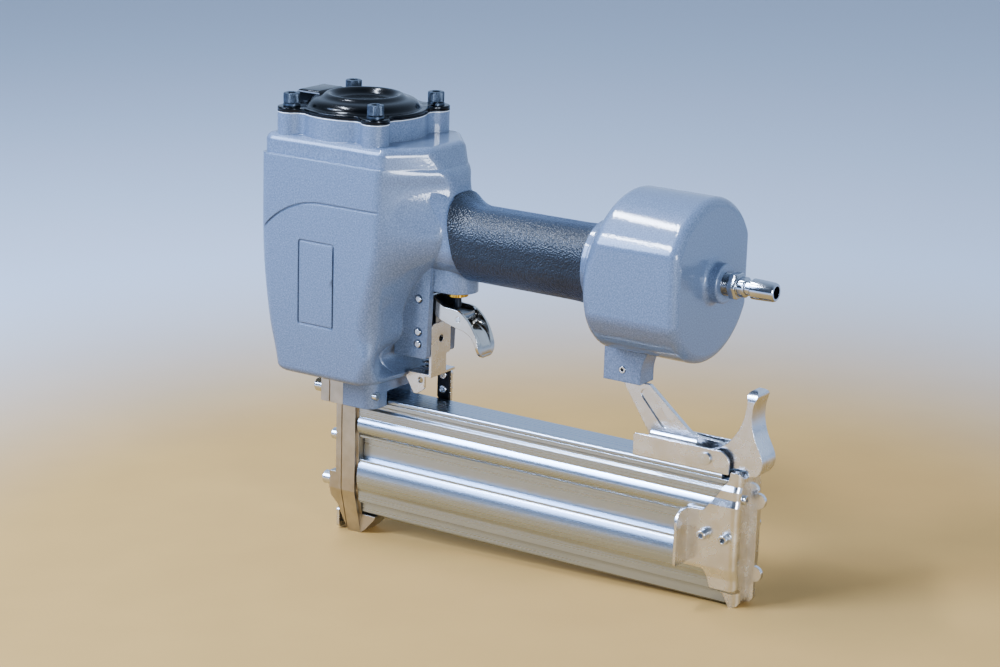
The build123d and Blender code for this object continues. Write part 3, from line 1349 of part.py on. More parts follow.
def end_cap():
    """Pressed cap over the channel's rear end, with a pull tab and a fin with two ears."""
    bottom, top = PULL_TAB
    upper = [(CAP_REAR + x, z, radius) for x, z, radius in CAP_UPPER_EDGE]
    lower = [(CAP_REAR + x, z, radius) for x, z, radius in CAP_LOWER_EDGE]
    solid = along_x(cap_outline(), CAP_FRONT, CAP_REAR)
    solid = fillet(solid.faces().sort_by(Axis.X)[-1].edges(), CAP_ROUND)
    side = rounded(
        (CAP_FRONT, bottom - 2, 0),
        (CAP_FRONT, top, 1.0),
        *upper,
        (CAP_REAR + 1, CAP_TOP + 1, 0),
        (CAP_REAR + 1, CAP_BOTTOM - 1, 0),
        *lower,
    )
    solid &= along_y(side, -CAP_HALF - 1, CAP_HALF + 1)
    solid -= along_x(offset(channel_outline(), SEAT_GAP), CAP_FRONT - 1, MAG_REAR + SEAT_GAP)
    panel_hi, panel_lo = PANEL
    wall_in = CAP_HALF - PULL_SHEET
    solid -= block(CAP_FRONT - 1, MAG_REAR, -wall_in, wall_in, panel_lo - 2, panel_hi + 2)
    notch, notch_floor = CAP_NOTCH
    solid -= block(CAP_FRONT, CAP_REAR + 1, -notch, notch, notch_floor, CAP_TOP + 1)
    outer = CAP_HALF + TAB_OUT
    root = -CAP_HALF + 1
    pull = rounded((-outer, bottom, 1.5), (root, bottom, 0), (root, top, 0), (-outer, top, PULL_ROUND))
    solid += along_x(pull, CAP_FRONT, CAP_FRONT + PULL_SHEET)
    fin_low, fin_high = FIN_ENDS
    fin = block(CAP_REAR - 1, CAP_REAR + FIN_DEPTH, -FIN_HALF, FIN_HALF, fin_low, fin_high)
    fin = fillet(fin.edges().filter_by(Axis.Y).sort_by(Axis.X)[-2:], FIN_DEPTH - 0.5)
    for z in FIN_EAR_Z:
        fin += rod_y(CAP_REAR + FIN_DEPTH, z, -FIN_HALF, FIN_HALF, FIN_EAR_R)
    solid += fin
    for x in CAP_SCREW_X:
        solid -= rod_y(x, CAP_SCREW_Z, -CAP_HALF - 1, CAP_HALF + 1, CAP_SCREW[2] + SEAT_GAP)
    solid -= rod_x(REAR_SCREW_Y, REAR_SCREW_Z, MAG_REAR - 1, CAP_REAR + 1, M3[2] + SEAT_GAP)
    return solid - rod_x(0, ROD_Z, MAG_REAR - 1, MAG_REAR + ROD_SEAT, ROD_R + SEAT_GAP)


def end_cap_screws():
    screws = []
    radius, height = CAP_SCREW_COLLAR
    for x in CAP_SCREW_X:
        screw = Pos(x, -CAP_HALF, CAP_SCREW_Z) * turned_screw(CAP_SCREW, CAP_SCREW_LENGTH, "-Y")
        screw += rod_y(x, CAP_SCREW_Z, -CAP_HALF - height, -CAP_HALF, radius)
        screws += [screw, mirror(screw, about=Plane.XZ)]
    return screws


def end_cap_rear_screw():
    return Pos(CAP_REAR, REAR_SCREW_Y, REAR_SCREW_Z) * turned_screw(M3, REAR_SCREW_LENGTH, "+X")


def nail_pusher():
    floor = MAG_BOTTOM + MAG_FLOOR + SLIDE_GAP
    end = PUSHER_FRONT + PUSHER_LENGTH
    side = rounded(
        (PUSHER_FRONT, floor, 0),
        (end, floor, 0),
        (end, PUSHER_KNEE, 4.0),
        (end - PUSHER_SLOPE, PUSHER_TOP, 4.0),
        (PUSHER_FRONT, PUSHER_TOP, 0),
    )
    solid = along_y(side, -PUSHER_HALF, PUSHER_HALF)
    return solid - rod_x(0, ROD_Z, PUSHER_FRONT - 1, end + 1, ROD_R + RUN_FIT)


def pusher_rod():
    return rod_x(0, ROD_Z, ROD_FRONT, MAG_REAR + ROD_SEAT - SEAT_GAP, ROD_R)


def pusher_spring():
    radius, wire, turns = PUSHER_SPRING
    start = PUSHER_FRONT + PUSHER_LENGTH + SEAT_GAP
    length = MAG_REAR - start
    return Pos(start, 0, ROD_Z) * Rot(0, 90, 0) * coil(radius, wire, turns, length, "pusher_spring")


# Rear bracket and latch

def arm_top():
    return LUG_BOTTOM + ARM_ROOT


def base_floor():
    return RAIL_TOP + BASE_SHEET


def bracket_arm():
    """Pressed plate from the lug down to the base, with a long bead and a bent foot."""
    floor = base_floor()
    rear_edge = [(BASE_FRONT + x, z, radius) for x, z, radius in ARM_REAR_EDGE]
    plate = rounded(
        (LUG_FRONT + 5, arm_top(), 2.0),
        (LUG_REAR - LUG_SLOT_WALL - 1, arm_top(), 2.0),
        (LUG_REAR - LUG_SLOT_WALL - 1, LUG_BOTTOM - 0.5, 0),
        (LUG_REAR + 3, LUG_BOTTOM - 0.5, 2.0),
        *rear_edge,
        (rear_edge[-1][0], floor, 0),
        (BASE_FRONT + 4, floor, 0),
        (BASE_FRONT + 4, floor + ARM_HEEL, 6.0),
        (LUG_FRONT + 11, LUG_BOTTOM - 3, 3.0),
        (LUG_FRONT + 5, LUG_BOTTOM + 2, 0),
    )
    solid = along_y(plate, -ARM_HALF, ARM_HALF)
    start, end = ARM_FOOT
    reach = BASE_HALF - BASE_SHEET - SEAT_GAP
    top = BASE_TOP - ARM_FOOT_DROP
    solid += block(BASE_FRONT + start, BASE_FRONT + end, -reach, 0, top - ARM_FOOT_SHEET, top)
    middle = (BASE_FRONT + (start + end) / 2, -ARM_HALF, top)
    solid = fillet(solid.edges().filter_by(Axis.X).sort_by_distance(middle)[0], ARM_BEND)
    x, z, turn = ARM_BEAD
    bead = Pos(x, z) * Rot(0, 0, turn) * SlotOverall(*BEAD_SIZE)
    solid -= along_y(bead, -ARM_HALF - 1, -ARM_HALF + BEAD_DEPTH)
    x, z, radius = LUG_PIN
    solid -= rod_y(x, z, -ARM_HALF - 1, ARM_HALF + 1, radius + SEAT_GAP)
    return solid - rod_y(LATCH_PIN_X, LATCH_PIN_Z, -ARM_HALF - 1, ARM_HALF + 1, LATCH_PIN_R + SEAT_GAP)


def lug_pin():
    x, z, radius = LUG_PIN
    solid = rod_y(x, z, -LUG_HALF - PIN_ROUND, LUG_HALF + PIN_ROUND, radius)
    return solid - rod_y(x, z, -LUG_HALF - 1, LUG_HALF + 1, LUG_PIN_BORE)


def bracket_base():
    wall = rounded(
        (BASE_FRONT, RAIL_TOP, 0),
        (BASE_REAR, RAIL_TOP, 0),
        (BASE_REAR, BASE_TOP, BASE_ROUND_R),
        (BASE_FRONT, BASE_TOP, 1.5),
    )
    solid = along_y(wall, -BASE_HALF, BASE_HALF)
    inner = BASE_HALF - BASE_SHEET
    solid -= block(BASE_FRONT - 1, BASE_REAR + 1, -inner, inner, base_floor(), BASE_TOP + 1)
    solid -= block(RAIL_REAR - BASE_OPEN, BASE_REAR + 1, -inner, inner, RAIL_TOP - 1, BASE_TOP + 1)
    solid -= rod_y(LATCH_PIN_X, LATCH_PIN_Z, -BASE_HALF - 1, BASE_HALF + 1, LATCH_PIN_R + SEAT_GAP)
    for x in BASE_SCREW_X:
        for y in (-BASE_SCREW_Y, BASE_SCREW_Y):
            solid -= rod_z(x, y, RAIL_TOP - 1, base_floor() + 1, M3[2] + SEAT_GAP)
    return solid


def base_screws():
    screw = socket_screw(M3, BASE_SHEET + RAIL_SHEET)
    return [Pos(x, y, base_floor()) * screw for x in BASE_SCREW_X for y in (-BASE_SCREW_Y, BASE_SCREW_Y)]


def latch_pin():
    head_r, head_t = LATCH_PIN_HEAD
    solid = rod_y(LATCH_PIN_X, LATCH_PIN_Z, -BASE_HALF, BASE_HALF, LATCH_PIN_R)
    return solid + each_side(rod_y(LATCH_PIN_X, LATCH_PIN_Z, BASE_HALF, BASE_HALF + head_t, head_r))


def latch_outline():
    """Side view of the thumb lever: eye, sweeping front edge, S-shaped back and hook."""
    under, over = (0, LATCH_PIN_Z - LATCH_EYE), (0, LATCH_PIN_Z + LATCH_EYE)
    edges = [
        Spline(*LATCH_FRONT_EDGE),
        ThreePointArc(LATCH_FRONT_EDGE[-1], LATCH_TIP, LATCH_BACK_EDGE[0]),
        Spline(*LATCH_BACK_EDGE),
        Polyline(LATCH_BACK_EDGE[-1], *LATCH_HOOK, under),
        ThreePointArc(under, (-LATCH_EYE, LATCH_PIN_Z), over),
        Line(over, LATCH_FRONT_EDGE[0]),
    ]
    return Pos(LATCH_PIN_X, 0) * make_face(edges)


def latch_lever():
    """Pressed lever: two side plates joined by the thumb plate along the back."""
    solid = along_y(latch_outline(), -LATCH_HALF, LATCH_HALF)
    inner = LATCH_HALF - LATCH_SHEET
    room = Pos(-LATCH_THUMB, 0, 0) * along_y(latch_outline(), -inner, inner)
    front, back = LATCH_PIN_X - 2 * LATCH_EYE, LATCH_PIN_X + 10 * LATCH_EYE
    low, tip = RAIL_TOP - 1, LATCH_TIP[1]
    room &= block(front, back, -inner, inner, low, tip - LATCH_THUMB_END)
    rear, top = LATCH_ROOM
    room += block(front, LATCH_PIN_X + rear, -inner, inner, low, top)
    solid -= room
    front_view = rounded(
        (-LATCH_HALF, tip, LATCH_THUMB_R),
        (LATCH_HALF, tip, LATCH_THUMB_R),
        (LATCH_HALF, low, 0),
        (-LATCH_HALF, low, 0),
    )
    solid &= along_x(front_view, front, back)
    return solid - rod_y(LATCH_PIN_X, LATCH_PIN_Z, -LATCH_HALF - 1, LATCH_HALF + 1, LATCH_PIN_R + RUN_FIT)


def latch_spring():
    radius, wire, turns = LATCH_SPRING
    length = LATCH_HALF - LATCH_SHEET - ARM_HALF - 2 * SLIDE_GAP
    spring = coil(radius, wire, turns, length, "latch_spring")
    return Pos(LATCH_PIN_X, LATCH_HALF - LATCH_SHEET - SLIDE_GAP, LATCH_PIN_Z) * Rot(90, 0, 0) * spring


NODES = (
    housing,
    top_cover,
    cover_gasket,
    cover_screws,
    cover_washers,
    cylinder_sleeve,
    cylinder_seals,
    bumper,
    piston,
    piston_ring,
    driver_blade,
    head_cap,
    head_valve,
    head_valve_seal,
    head_valve_spring,
    grip_sleeve,
    drum_seal,
    reservoir_drum,
    air_plug,
    trigger,
    trigger_pin,
    cheek_pins,
    trigger_lever,
    trigger_lever_pin,
    trigger_valve_body,
    trigger_valve_stem,
    trigger_valve_spring,
    safety_yoke,
    safety_coupler,
    safety_contact,
    link_screws,
    link_nuts,
    safety_spring,
    nose_back_plate,
    nose_front_cover,
    nose_bolts,
    nose_cover_screws,
    magazine_front_plate,
    fixed_rail,
    magazine_channel,
    end_cap,
    end_cap_screws,
    end_cap_rear_screw,
    nail_pusher,
    pusher_rod,
    pusher_spring,
    bracket_arm,
    lug_pin,
    bracket_base,
    base_screws,
    latch_pin,
    latch_lever,
    latch_spring,
)

os.makedirs("parts", exist_ok=True)
for make in NODES:
    made = make()
    pieces = made if isinstance(made, list) else [made]
    export_step(Compound(children=pieces) if len(pieces) > 1 else pieces[0], f"parts/{make.__name__}.step")
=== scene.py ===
"""Looks of a pneumatic concrete nailer, laid out as a Blender add-on and run as a script.

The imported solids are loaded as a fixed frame. The operators give them their finishes, model the
pieces that need more than a solid, and set the floor, the lights and the camera.
"""

import math

import bpy
from bpy.props import FloatProperty, FloatVectorProperty, PointerProperty
from mathutils import Matrix, Vector


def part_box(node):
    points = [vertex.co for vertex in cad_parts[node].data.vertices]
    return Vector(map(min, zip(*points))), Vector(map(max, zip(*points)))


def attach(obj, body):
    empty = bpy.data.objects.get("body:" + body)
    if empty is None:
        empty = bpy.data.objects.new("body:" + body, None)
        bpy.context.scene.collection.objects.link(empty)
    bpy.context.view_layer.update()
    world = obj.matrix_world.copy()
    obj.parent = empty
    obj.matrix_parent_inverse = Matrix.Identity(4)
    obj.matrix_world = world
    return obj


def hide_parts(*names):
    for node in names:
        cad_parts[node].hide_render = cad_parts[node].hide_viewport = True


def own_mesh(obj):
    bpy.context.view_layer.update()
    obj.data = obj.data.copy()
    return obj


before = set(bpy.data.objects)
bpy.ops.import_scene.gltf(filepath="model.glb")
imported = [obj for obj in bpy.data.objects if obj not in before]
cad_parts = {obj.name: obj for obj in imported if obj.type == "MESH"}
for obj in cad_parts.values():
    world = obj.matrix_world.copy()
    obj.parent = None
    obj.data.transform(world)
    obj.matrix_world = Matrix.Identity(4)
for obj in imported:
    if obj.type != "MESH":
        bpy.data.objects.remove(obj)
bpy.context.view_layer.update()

bl_info = {
    "name": "Nailer looks",
    "version": (1, 0, 0),
    "blender": (4, 5, 0),
    "location": "3D View > Sidebar > Nailer",
    "description": "Finishes, fine pieces and stage of a pneumatic concrete nailer",
    "category": "Object",
}

MM = 0.001

# Modelling: points closer than MERGE are one and a face within NEAR of a height lies at it, both in
# millimetres. A face looks along an axis if its normal has more than FACING of it.
MERGE = 0.001
NEAR = 0.01
FACING = 0.9
EDGE_STEPS = 3  # faces across an eased edge
ROUND_STEPS = 6  # faces across a round one

# Finishes
NOISE_LOW, NOISE_HIGH = 0.3, 0.7  # a noise takes most of its values between these
SHADED_CREASE = (0.35, 0.9)  # how open a crease is where it is painted in full shade, and where it is painted with no shade
SAMPLES = 6  # rays that look for an edge or a crease
FEW_SAMPLES = 4  # the same on black pieces, where less of it shows
PEBBLE_WARP = 0.0006  # how much of a noise bends the pebbles of the grip
DRAWN_OUT = (0.004, 1.0, 1.0)  # stretches the die lines of the extrusions along X

# Where the tool stands, in metres along X and Z: heel of the nose, and low edge of the end cap
HEEL = (7.5 * MM, 0.0)
CAP_EDGE = (271.0 * MM, 12.5 * MM)
NECK_FACE = 264.9 * MM  # the machined face of the neck starts here

# Cover, in millimetres
SCREW_SQUARE = 31.0  # half the spacing of the cover screws
COVER_SHEET = 2.1
FLANGE_EDGE = 0.5
FLANGE_CORNER = 50.0  # degrees from which a corner of the flange is eased
DUCT = (-41.0, -24.0, 13.0, 7.0)  # mouth, inner end, half width, height over the flange
DUCT_ROUND = 2.5
DUCT_BACK = 2.0  # left solid at the inner end
# Dome from the flange up to its ring and down into the dish: height over the flange, radius
DOME = (
    (-0.6, 35.6), (0.1, 35.2), (0.4, 34.5), (1.0, 33.8), (2.0, 33.2), (3.0, 32.5), (3.9, 31.4),
    (4.6, 29.8), (5.0, 28.2), (5.3, 26.6), (5.8, 25.4), (6.6, 24.3), (7.3, 23.3), (7.6, 22.3),
    (7.45, 21.2), (6.9, 20.2), (5.9, 19.2), (4.9, 18.3), (4.1, 17.2), (3.65, 15.8), (3.45, 14.0),
    (3.4, 9.0), (3.4, 0.05),
)
DOME_SIDES = 96

# Washers and screws of the cover, in millimetres, and how each of the four is turned, in radians
WASHER = (4.2, 2.0, 1.4, 0.5)  # middle radius, width and height of the section, rise of the ends
WASHER_OPEN = 14.0  # degrees left open at the split
WASHER_STEPS = 48
WASHER_TURNS = (0.4, 1.9, 3.7, 5.2)
# Socket head screw from its tip to the top of its head: height over its seat, radius
CAP_SCREW = (
    (-26.0, 2.4), (-25.2, 3.0), (0.0, 3.0), (0.0, 4.6), (0.35, 5.0), (5.6, 5.0), (6.0, 4.8),
    (6.2, 4.3),
)
KNURLS = 36
KNURL_BAND = 0.1  # how far inside the head's radius a point is still cut by the knurl
KEY = (5.0, 3.4)  # across flats and depth of the socket
SCREW_TURNS = (0.2, 0.8, 0.5, 1.1)

# Air plug from its thread to the bore in its end: length from the boss, radius, in millimetres
PLUG_BODY = ((-9.8, 5.4), (-9.2, 6.4), (0.0, 6.4))
PLUG_THREAD = (0.2, 0.8, 5, 5.7, 6.4)  # start, pitch, turns that show, root and crest radius
# One turn of the thread: share of the pitch, and 0 at the root or 1 at the crest
THREAD_FORM = ((0.0, 0), (0.3, 1), (0.5, 1), (0.8, 0))
PLUG_TAIL = (
    (4.2, 6.0), (9.2, 6.0), (9.4, 5.6), (9.8, 5.9), (13.0, 5.9), (13.6, 5.3), (13.9, 4.4),
    (16.6, 4.4), (17.1, 5.2), (17.6, 5.9), (20.0, 5.9), (30.2, 5.5), (31.3, 5.1), (31.7, 4.6),
    (31.7, 3.6), (18.0, 3.6),
)
PLUG_SIDES = 64
PLUG_END = 31.7
PLUG_HEX = (14.0, 4.2, 9.0)  # across flats, start and end
HEX_EDGE = 0.4

# Springs that a joint presses together: node, body, joint and its travel, the axis (0 is X, 2 is Z)
# along which they are wound, then coil radius, wire and turns, in millimetres
SPRINGS = (
    ("head_valve_spring", "tool", "head_valve_lift", 4.5, 2, 21.0, 2.2, 4),
    ("trigger_valve_spring", "tool", "valve_stem_slide", 2.7, 2, 3.9, 1.0, 5),
    ("pusher_spring", "magazine", "pusher_slide", 170.0, 0, 2.9, 0.8, 24),
)
WIRE_SIDES = 12
COIL_STEPS = 32  # for each turn

# Floor, in metres: its side, where the tool stands on it, and the distances between which its
# colour fades. Its mottle's size is in millimetres, and its dark tone a share of the light one.
FLOOR_SIZE = 12.0
TOOL_MIDDLE = (0.12, 0.0, 0.0)
FLOOR_FADE = (0.3, 0.95)
FLOOR_MOTTLE = 60.0
FLOOR_DIM = 0.96

# Lamps: place and aim in metres, width and height, colour, and share of the set power
LAMPS = (
    ("strip_near", (-0.60, -1.12, 1.5), (0.1, -0.1, 0.15), (0.7, 0.085), "#E6EFFF", 0.5),
    ("strip_far", (-0.45, -0.26, 1.5), (0.1, 0.0, 0.15), (0.7, 0.085), "#E6EFFF", 0.5),
    ("window_left", (-1.2, -1.5, 1.3), (0.1, 0.0, 0.2), (1.1, 1.1), "#BBD4FF", 2.1),
    ("window_right", (1.9, -1.0, 0.5), (0.1, 0.0, 0.2), (0.55, 0.7), "#E6EFFF", 1.1),
)

# Camera in the tool's frame, in metres, with its lens and sensor in millimetres
CAMERA_PLACE = (0.9220, -1.2563, 0.5490)
CAMERA_AZIMUTH = math.radians(33.125)
CAMERA_ELEVATION = math.radians(15.13)
CAMERA_ROLL = math.radians(1.652)
CAMERA_LENS = 94.2
CAMERA_SENSOR = 36.0


def linear(code):
    """Linear RGB of an sRGB hex colour such as #808080."""
    channels = [int(code[i : i + 2], 16) / 255 for i in (1, 3, 5)]
    return tuple(c / 12.92 if c <= 0.04045 else ((c + 0.055) / 1.055) ** 2.4 for c in channels)


def rgba(code):
    """Linear RGB of an sRGB hex colour, with full alpha."""
    return (*linear(code), 1.0)


def tones(dark, light, low=NOISE_LOW, high=NOISE_HIGH):
    """Colour stops from a dark hex colour to a light one."""
    return (low, rgba(dark)), (high, rgba(light))


def per_mm(size):
    """Texture scale whose features are about this many millimetres across."""
    return 1.0 / (size * MM)


def add(tree, kind, inputs, stops=(), out=0, **settings):
    """Adds a node with its settings and colour stops, sets or links its sockets by name or in
    order, and gives one of its outputs."""
    made = tree.nodes.new(kind)
    for key, value in settings.items():
        setattr(made, key, value)
    for key, value in inputs.items() if isinstance(inputs, dict) else enumerate(inputs):
        if isinstance(value, bpy.types.NodeSocket):
            tree.links.new(value, made.inputs[key])
        else:
            made.inputs[key].default_value = value
    for count, (position, colour) in enumerate(stops):
        elements = made.color_ramp.elements
        element = elements[count] if count < len(elements) else elements.new(1.0)
        element.position = position
        element.color = colour
    return made.outputs[out]


def begin(name, **sockets):
    """A material with these values on its shader: itself, its node tree, the shader and the Object
    coordinates."""
    material = bpy.data.materials.new(name)
    material.use_nodes = True
    tree = material.node_tree
    shader = tree.nodes["Principled BSDF"]
    for key, value in sockets.items():
        shader.inputs[key.replace("_", " ")].default_value = value
    place = add(tree, "ShaderNodeTexCoord", (), out="Object")
    return material, tree, shader, place


def connect(tree, shader, **sockets):
    """Links sockets to the shader."""
    for key, value in sockets.items():
        tree.links.new(value, shader.inputs[key.replace("_", " ")])


def shaded_in_creases(tree, colour, reach, depth):
    """A colour darkened in creases narrower than reach, in millimetres, as painted shade."""
    crease = add(
        # Painted shade: the colour is darkened where ambient occlusion finds a crease
        tree, "ShaderNodeAmbientOcclusion", {"Distance": reach * MM}, out="AO", samples=SAMPLES
    )
    painted_shade = add(tree, "ShaderNodeMapRange", (crease, *SHADED_CREASE, depth, 1.0))
    return add(tree, "ShaderNodeMixRGB", (1.0, colour, painted_shade), blend_type="MULTIPLY")


def hammertone_enamel():
    """Stoved hammertone enamel on cast aluminium: a clear glossy film over leafed aluminium, so the
    blue-grey carries a fine low speckle, and shallow dimples a millimetre across break up
    reflections. Cast edges are soft, and the creases are painted a little darker as shade. The
    machined face of the neck is left bare."""
    look = bpy.context.scene.nailer
    material, tree, shader, place = begin(
        "hammertone_enamel", Metallic=0.15, Coat_Weight=0.9, Coat_Roughness=0.08
    )
    dimples = add(
        tree,
        "ShaderNodeTexVoronoi",
        {"Vector": place, "Scale": per_mm(look.paint_dimple)},
        feature="SMOOTH_F1",
    )
    flecks = add(
        tree, "ShaderNodeTexNoise", {"Vector": place, "Scale": per_mm(0.8), "Detail": 3.0}
    )
    stops = (0.32, look.paint_dark), (0.5, look.paint_colour), (0.7, look.paint_light)
    paint = add(tree, "ShaderNodeValToRGB", (flecks,), [(at, (*tone, 1.0)) for at, tone in stops])
    height = add(tree, "ShaderNodeSeparateXYZ", (place,), out="Z")
    bare = add(tree, "ShaderNodeMath", (height, NECK_FACE), operation="GREATER_THAN")
    mixed = add(tree, "ShaderNodeMixRGB", (bare, paint, rgba("#D9DBDD")))
    edges = add(tree, "ShaderNodeBevel", {"Radius": 0.9 * MM}, samples=SAMPLES)
    skin = add(
        tree,
        "ShaderNodeBump",
        {"Height": dimples, "Strength": 0.8, "Distance": 0.03 * MM, "Normal": edges},
    )
    connect(
        tree,
        shader,
        # the creases of the enamel are darkened as painted shade
        Base_Color=shaded_in_creases(tree, mixed, reach=1.6, depth=0.85),
        Roughness=add(tree, "ShaderNodeMapRange", (flecks, NOISE_LOW, NOISE_HIGH, 0.46, 0.6)),
        Normal=skin,
        Coat_Normal=skin,
    )
    return material


def gloss_enamel():
    """Gloss black enamel on pressed steel: deep and wet-looking, with a faint orange peel."""
    material, tree, shader, place = begin(
        "gloss_enamel", Roughness=0.2, Specular_IOR_Level=0.3, Coat_Weight=0.12
    )
    peel = add(tree, "ShaderNodeTexNoise", {"Vector": place, "Scale": per_mm(2.2), "Detail": 2.0})
    edges = add(tree, "ShaderNodeBevel", {"Radius": 0.5 * MM}, samples=FEW_SAMPLES)
    connect(
        tree,
        shader,
        Base_Color=add(
            tree, "ShaderNodeValToRGB", (peel,), tones("#040506", "#090A0C", high=0.75)
        ),
        Normal=add(
            tree,
            "ShaderNodeBump",
            {"Height": peel, "Strength": 0.12, "Distance": 0.12 * MM, "Normal": edges},
        ),
    )
    return material


def black_oxide_steel(name, light, dark, rough):
    """Black oxide on machined steel: a dull blue-black skin, oily in patches, with eased edges that
    catch the light."""
    material, tree, shader, place = begin(name, Metallic=0.7)
    patches = add(
        tree, "ShaderNodeTexNoise", {"Vector": place, "Scale": per_mm(3.5), "Detail": 5.0}
    )
    connect(
        tree,
        shader,
        Base_Color=add(tree, "ShaderNodeValToRGB", (patches,), tones(dark, light)),
        Roughness=add(
            tree,
            "ShaderNodeMapRange",
            (patches, NOISE_LOW, NOISE_HIGH, rough - 0.08, rough + 0.08),
        ),
        Normal=add(tree, "ShaderNodeBevel", {"Radius": 0.25 * MM}, samples=FEW_SAMPLES),
    )
    return material


def pebbled_rubber():
    """Moulded rubber with a leather-like pebble: rounded bumps about a millimetre across, worn
    slightly shinier on their tops than in the valleys. The valleys are painted near black as shade,
    and a blue sheen tint is a painted reflection of the bluish surroundings."""
    look = bpy.context.scene.nailer
    # The blue sheen tint is a painted reflection of the bluish surroundings
    material, tree, shader, place = begin(
        "pebbled_rubber", IOR=1.56, Sheen_Weight=0.35, Sheen_Tint=rgba("#8FB0E0")
    )
    warp = add(
        tree, "ShaderNodeTexNoise", {"Vector": place, "Scale": per_mm(4.0)}, out="Color"
    )
    bent = add(tree, "ShaderNodeMixRGB", (PEBBLE_WARP, place, warp))
    pebble = add(
        tree,
        "ShaderNodeTexVoronoi",
        {"Vector": bent, "Scale": per_mm(look.grip_pebble), "Smoothness": 0.35},
        feature="SMOOTH_F1",
    )
    # Pebble tops in the grip's colour, valleys near black: painted shade between the pebbles
    stops = (0.15, (*look.grip_colour, 1.0)), (0.75, rgba("#090B0E"))
    connect(
        tree,
        shader,
        Base_Color=add(tree, "ShaderNodeValToRGB", (pebble,), stops),
        Roughness=add(tree, "ShaderNodeMapRange", (pebble, 0.1, 0.7, 0.24, 0.5)),
        Normal=add(
            tree,
            "ShaderNodeBump",
            {"Height": pebble, "Strength": 0.85, "Distance": 0.38 * MM},
            invert=True,
        ),
    )
    return material


def nitrile_rubber():
    """Nitrile rubber: matt black with a moulded grain, drawn coarse enough to show."""
    material, tree, shader, place = begin("nitrile_rubber", Roughness=0.6, IOR=1.52)
    grain = add(
        tree, "ShaderNodeTexNoise", {"Vector": place, "Scale": per_mm(0.8), "Detail": 3.0}
    )
    connect(
        tree,
        shader,
        Base_Color=add(tree, "ShaderNodeValToRGB", (grain,), tones("#0B0B0C", "#161618")),
    )
    return material


def plated(name, light, dark, smooth, rough, edge=0.35):
    """Plate on steel: bright, with a cloudy polish some millimetres across. Edges are eased by
    tumbling before they are plated."""
    material, tree, shader, place = begin(name, Metallic=1.0)
    cloud = add(
        tree, "ShaderNodeTexNoise", {"Vector": place, "Scale": per_mm(9.0), "Detail": 3.0}
    )
    connect(
        tree,
        shader,
        Base_Color=add(tree, "ShaderNodeValToRGB", (cloud,), tones(dark, light)),
        Roughness=add(tree, "ShaderNodeMapRange", (cloud, NOISE_LOW, NOISE_HIGH, smooth, rough)),
        Normal=add(tree, "ShaderNodeBevel", {"Radius": edge * MM}, samples=SAMPLES),
    )
    return material


def satin_extrusion():
    """Satin anodised aluminium extrusion: etched before anodising, so its film scatters while the
    metal mirrors. Die lines run along it as long faint streaks, drawn some millimetres apart so
    that they show."""
    material, tree, shader, place = begin("anodised_extrusion", Metallic=1.0)
    drawn = add(tree, "ShaderNodeMapping", {"Vector": place, "Scale": DRAWN_OUT})
    lines = add(
        tree, "ShaderNodeTexNoise", {"Vector": drawn, "Scale": per_mm(2.4), "Detail": 2.0}
    )
    tone = add(tree, "ShaderNodeValToRGB", (lines,), tones("#AEB7C1", "#B6BEC8"))
    connect(
        tree,
        shader,
        # the grooves of the extrusion are darkened as painted shade
        Base_Color=shaded_in_creases(tree, tone, reach=2.2, depth=0.35),
        Roughness=add(tree, "ShaderNodeMapRange", (lines, NOISE_LOW, NOISE_HIGH, 0.26, 0.3)),
        Normal=add(tree, "ShaderNodeBevel", {"Radius": 0.5 * MM}, samples=SAMPLES),
    )
    return material


def turned_metal(name, light, dark, rough=0.3, metallic=1.0):
    """Turned, ground or drawn stock: fine tool marks, shown about a millimetre apart so that they
    can be seen."""
    material, tree, shader, place = begin(name, Metallic=metallic)
    cuts = add(
        tree,
        "ShaderNodeTexWave",
        {"Vector": place, "Scale": per_mm(4.0), "Distortion": 1.5},
        out="Fac",
    )
    connect(
        tree,
        shader,
        Base_Color=add(tree, "ShaderNodeValToRGB", (cuts,), tones(dark, light, 0.2, 0.8)),
        Roughness=add(tree, "ShaderNodeMapRange", (cuts, 0.0, 1.0, rough - 0.05, rough + 0.06)),
    )
    return material


def wear(nodes, material):
    """Gives CAD nodes a material."""
    for node in nodes:
        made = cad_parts[node]
        made.data.materials.clear()
        made.data.materials.append(material)


def only(*made):
    """Selects these objects alone, the last one active."""
    bpy.ops.object.select_all(action="DESELECT")
    for each in made:
        each.select_set(True)
    bpy.context.view_layer.objects.active = made[-1]


def pick(made, wanted):
    """Goes to edit mode with only the faces selected whose middle, in millimetres, and normal are
    wanted."""
    only(made)
    bpy.ops.object.mode_set(mode="EDIT")
    bpy.ops.mesh.select_mode(type="FACE")
    bpy.ops.mesh.select_all(action="DESELECT")
    bpy.ops.object.mode_set(mode="OBJECT")
    for face in made.data.polygons:
        face.select = wanted(face.center / MM, face.normal)
    bpy.ops.object.mode_set(mode="EDIT")


def turned(name, stations, sides):
    """A form turned round Z: a disc that is extruded and scaled from station to station, each a
    height and a radius in millimetres."""
    bpy.ops.object.select_all(action="DESELECT")
    height, radius = stations[0]
    bpy.ops.mesh.primitive_circle_add(
        vertices=sides, radius=radius * MM, fill_type="NGON", location=(0, 0, height * MM)
    )
    made = bpy.context.object
    made.name = name
    bpy.ops.object.transform_apply()
    bpy.ops.object.mode_set(mode="EDIT")
    bpy.ops.mesh.select_all(action="SELECT")
    for (low, before), (high, after) in zip(stations, stations[1:]):
        rise = (0, 0, (high - low) * MM)
        bpy.ops.mesh.extrude_region_move(TRANSFORM_OT_translate={"value": rise})
        share = after / before
        bpy.ops.transform.resize(value=(share, share, 1), center_override=(0, 0, high * MM))
    bpy.ops.mesh.select_all(action="SELECT")
    bpy.ops.mesh.normals_make_consistent(inside=False)
    bpy.ops.object.mode_set(mode="OBJECT")
    return made


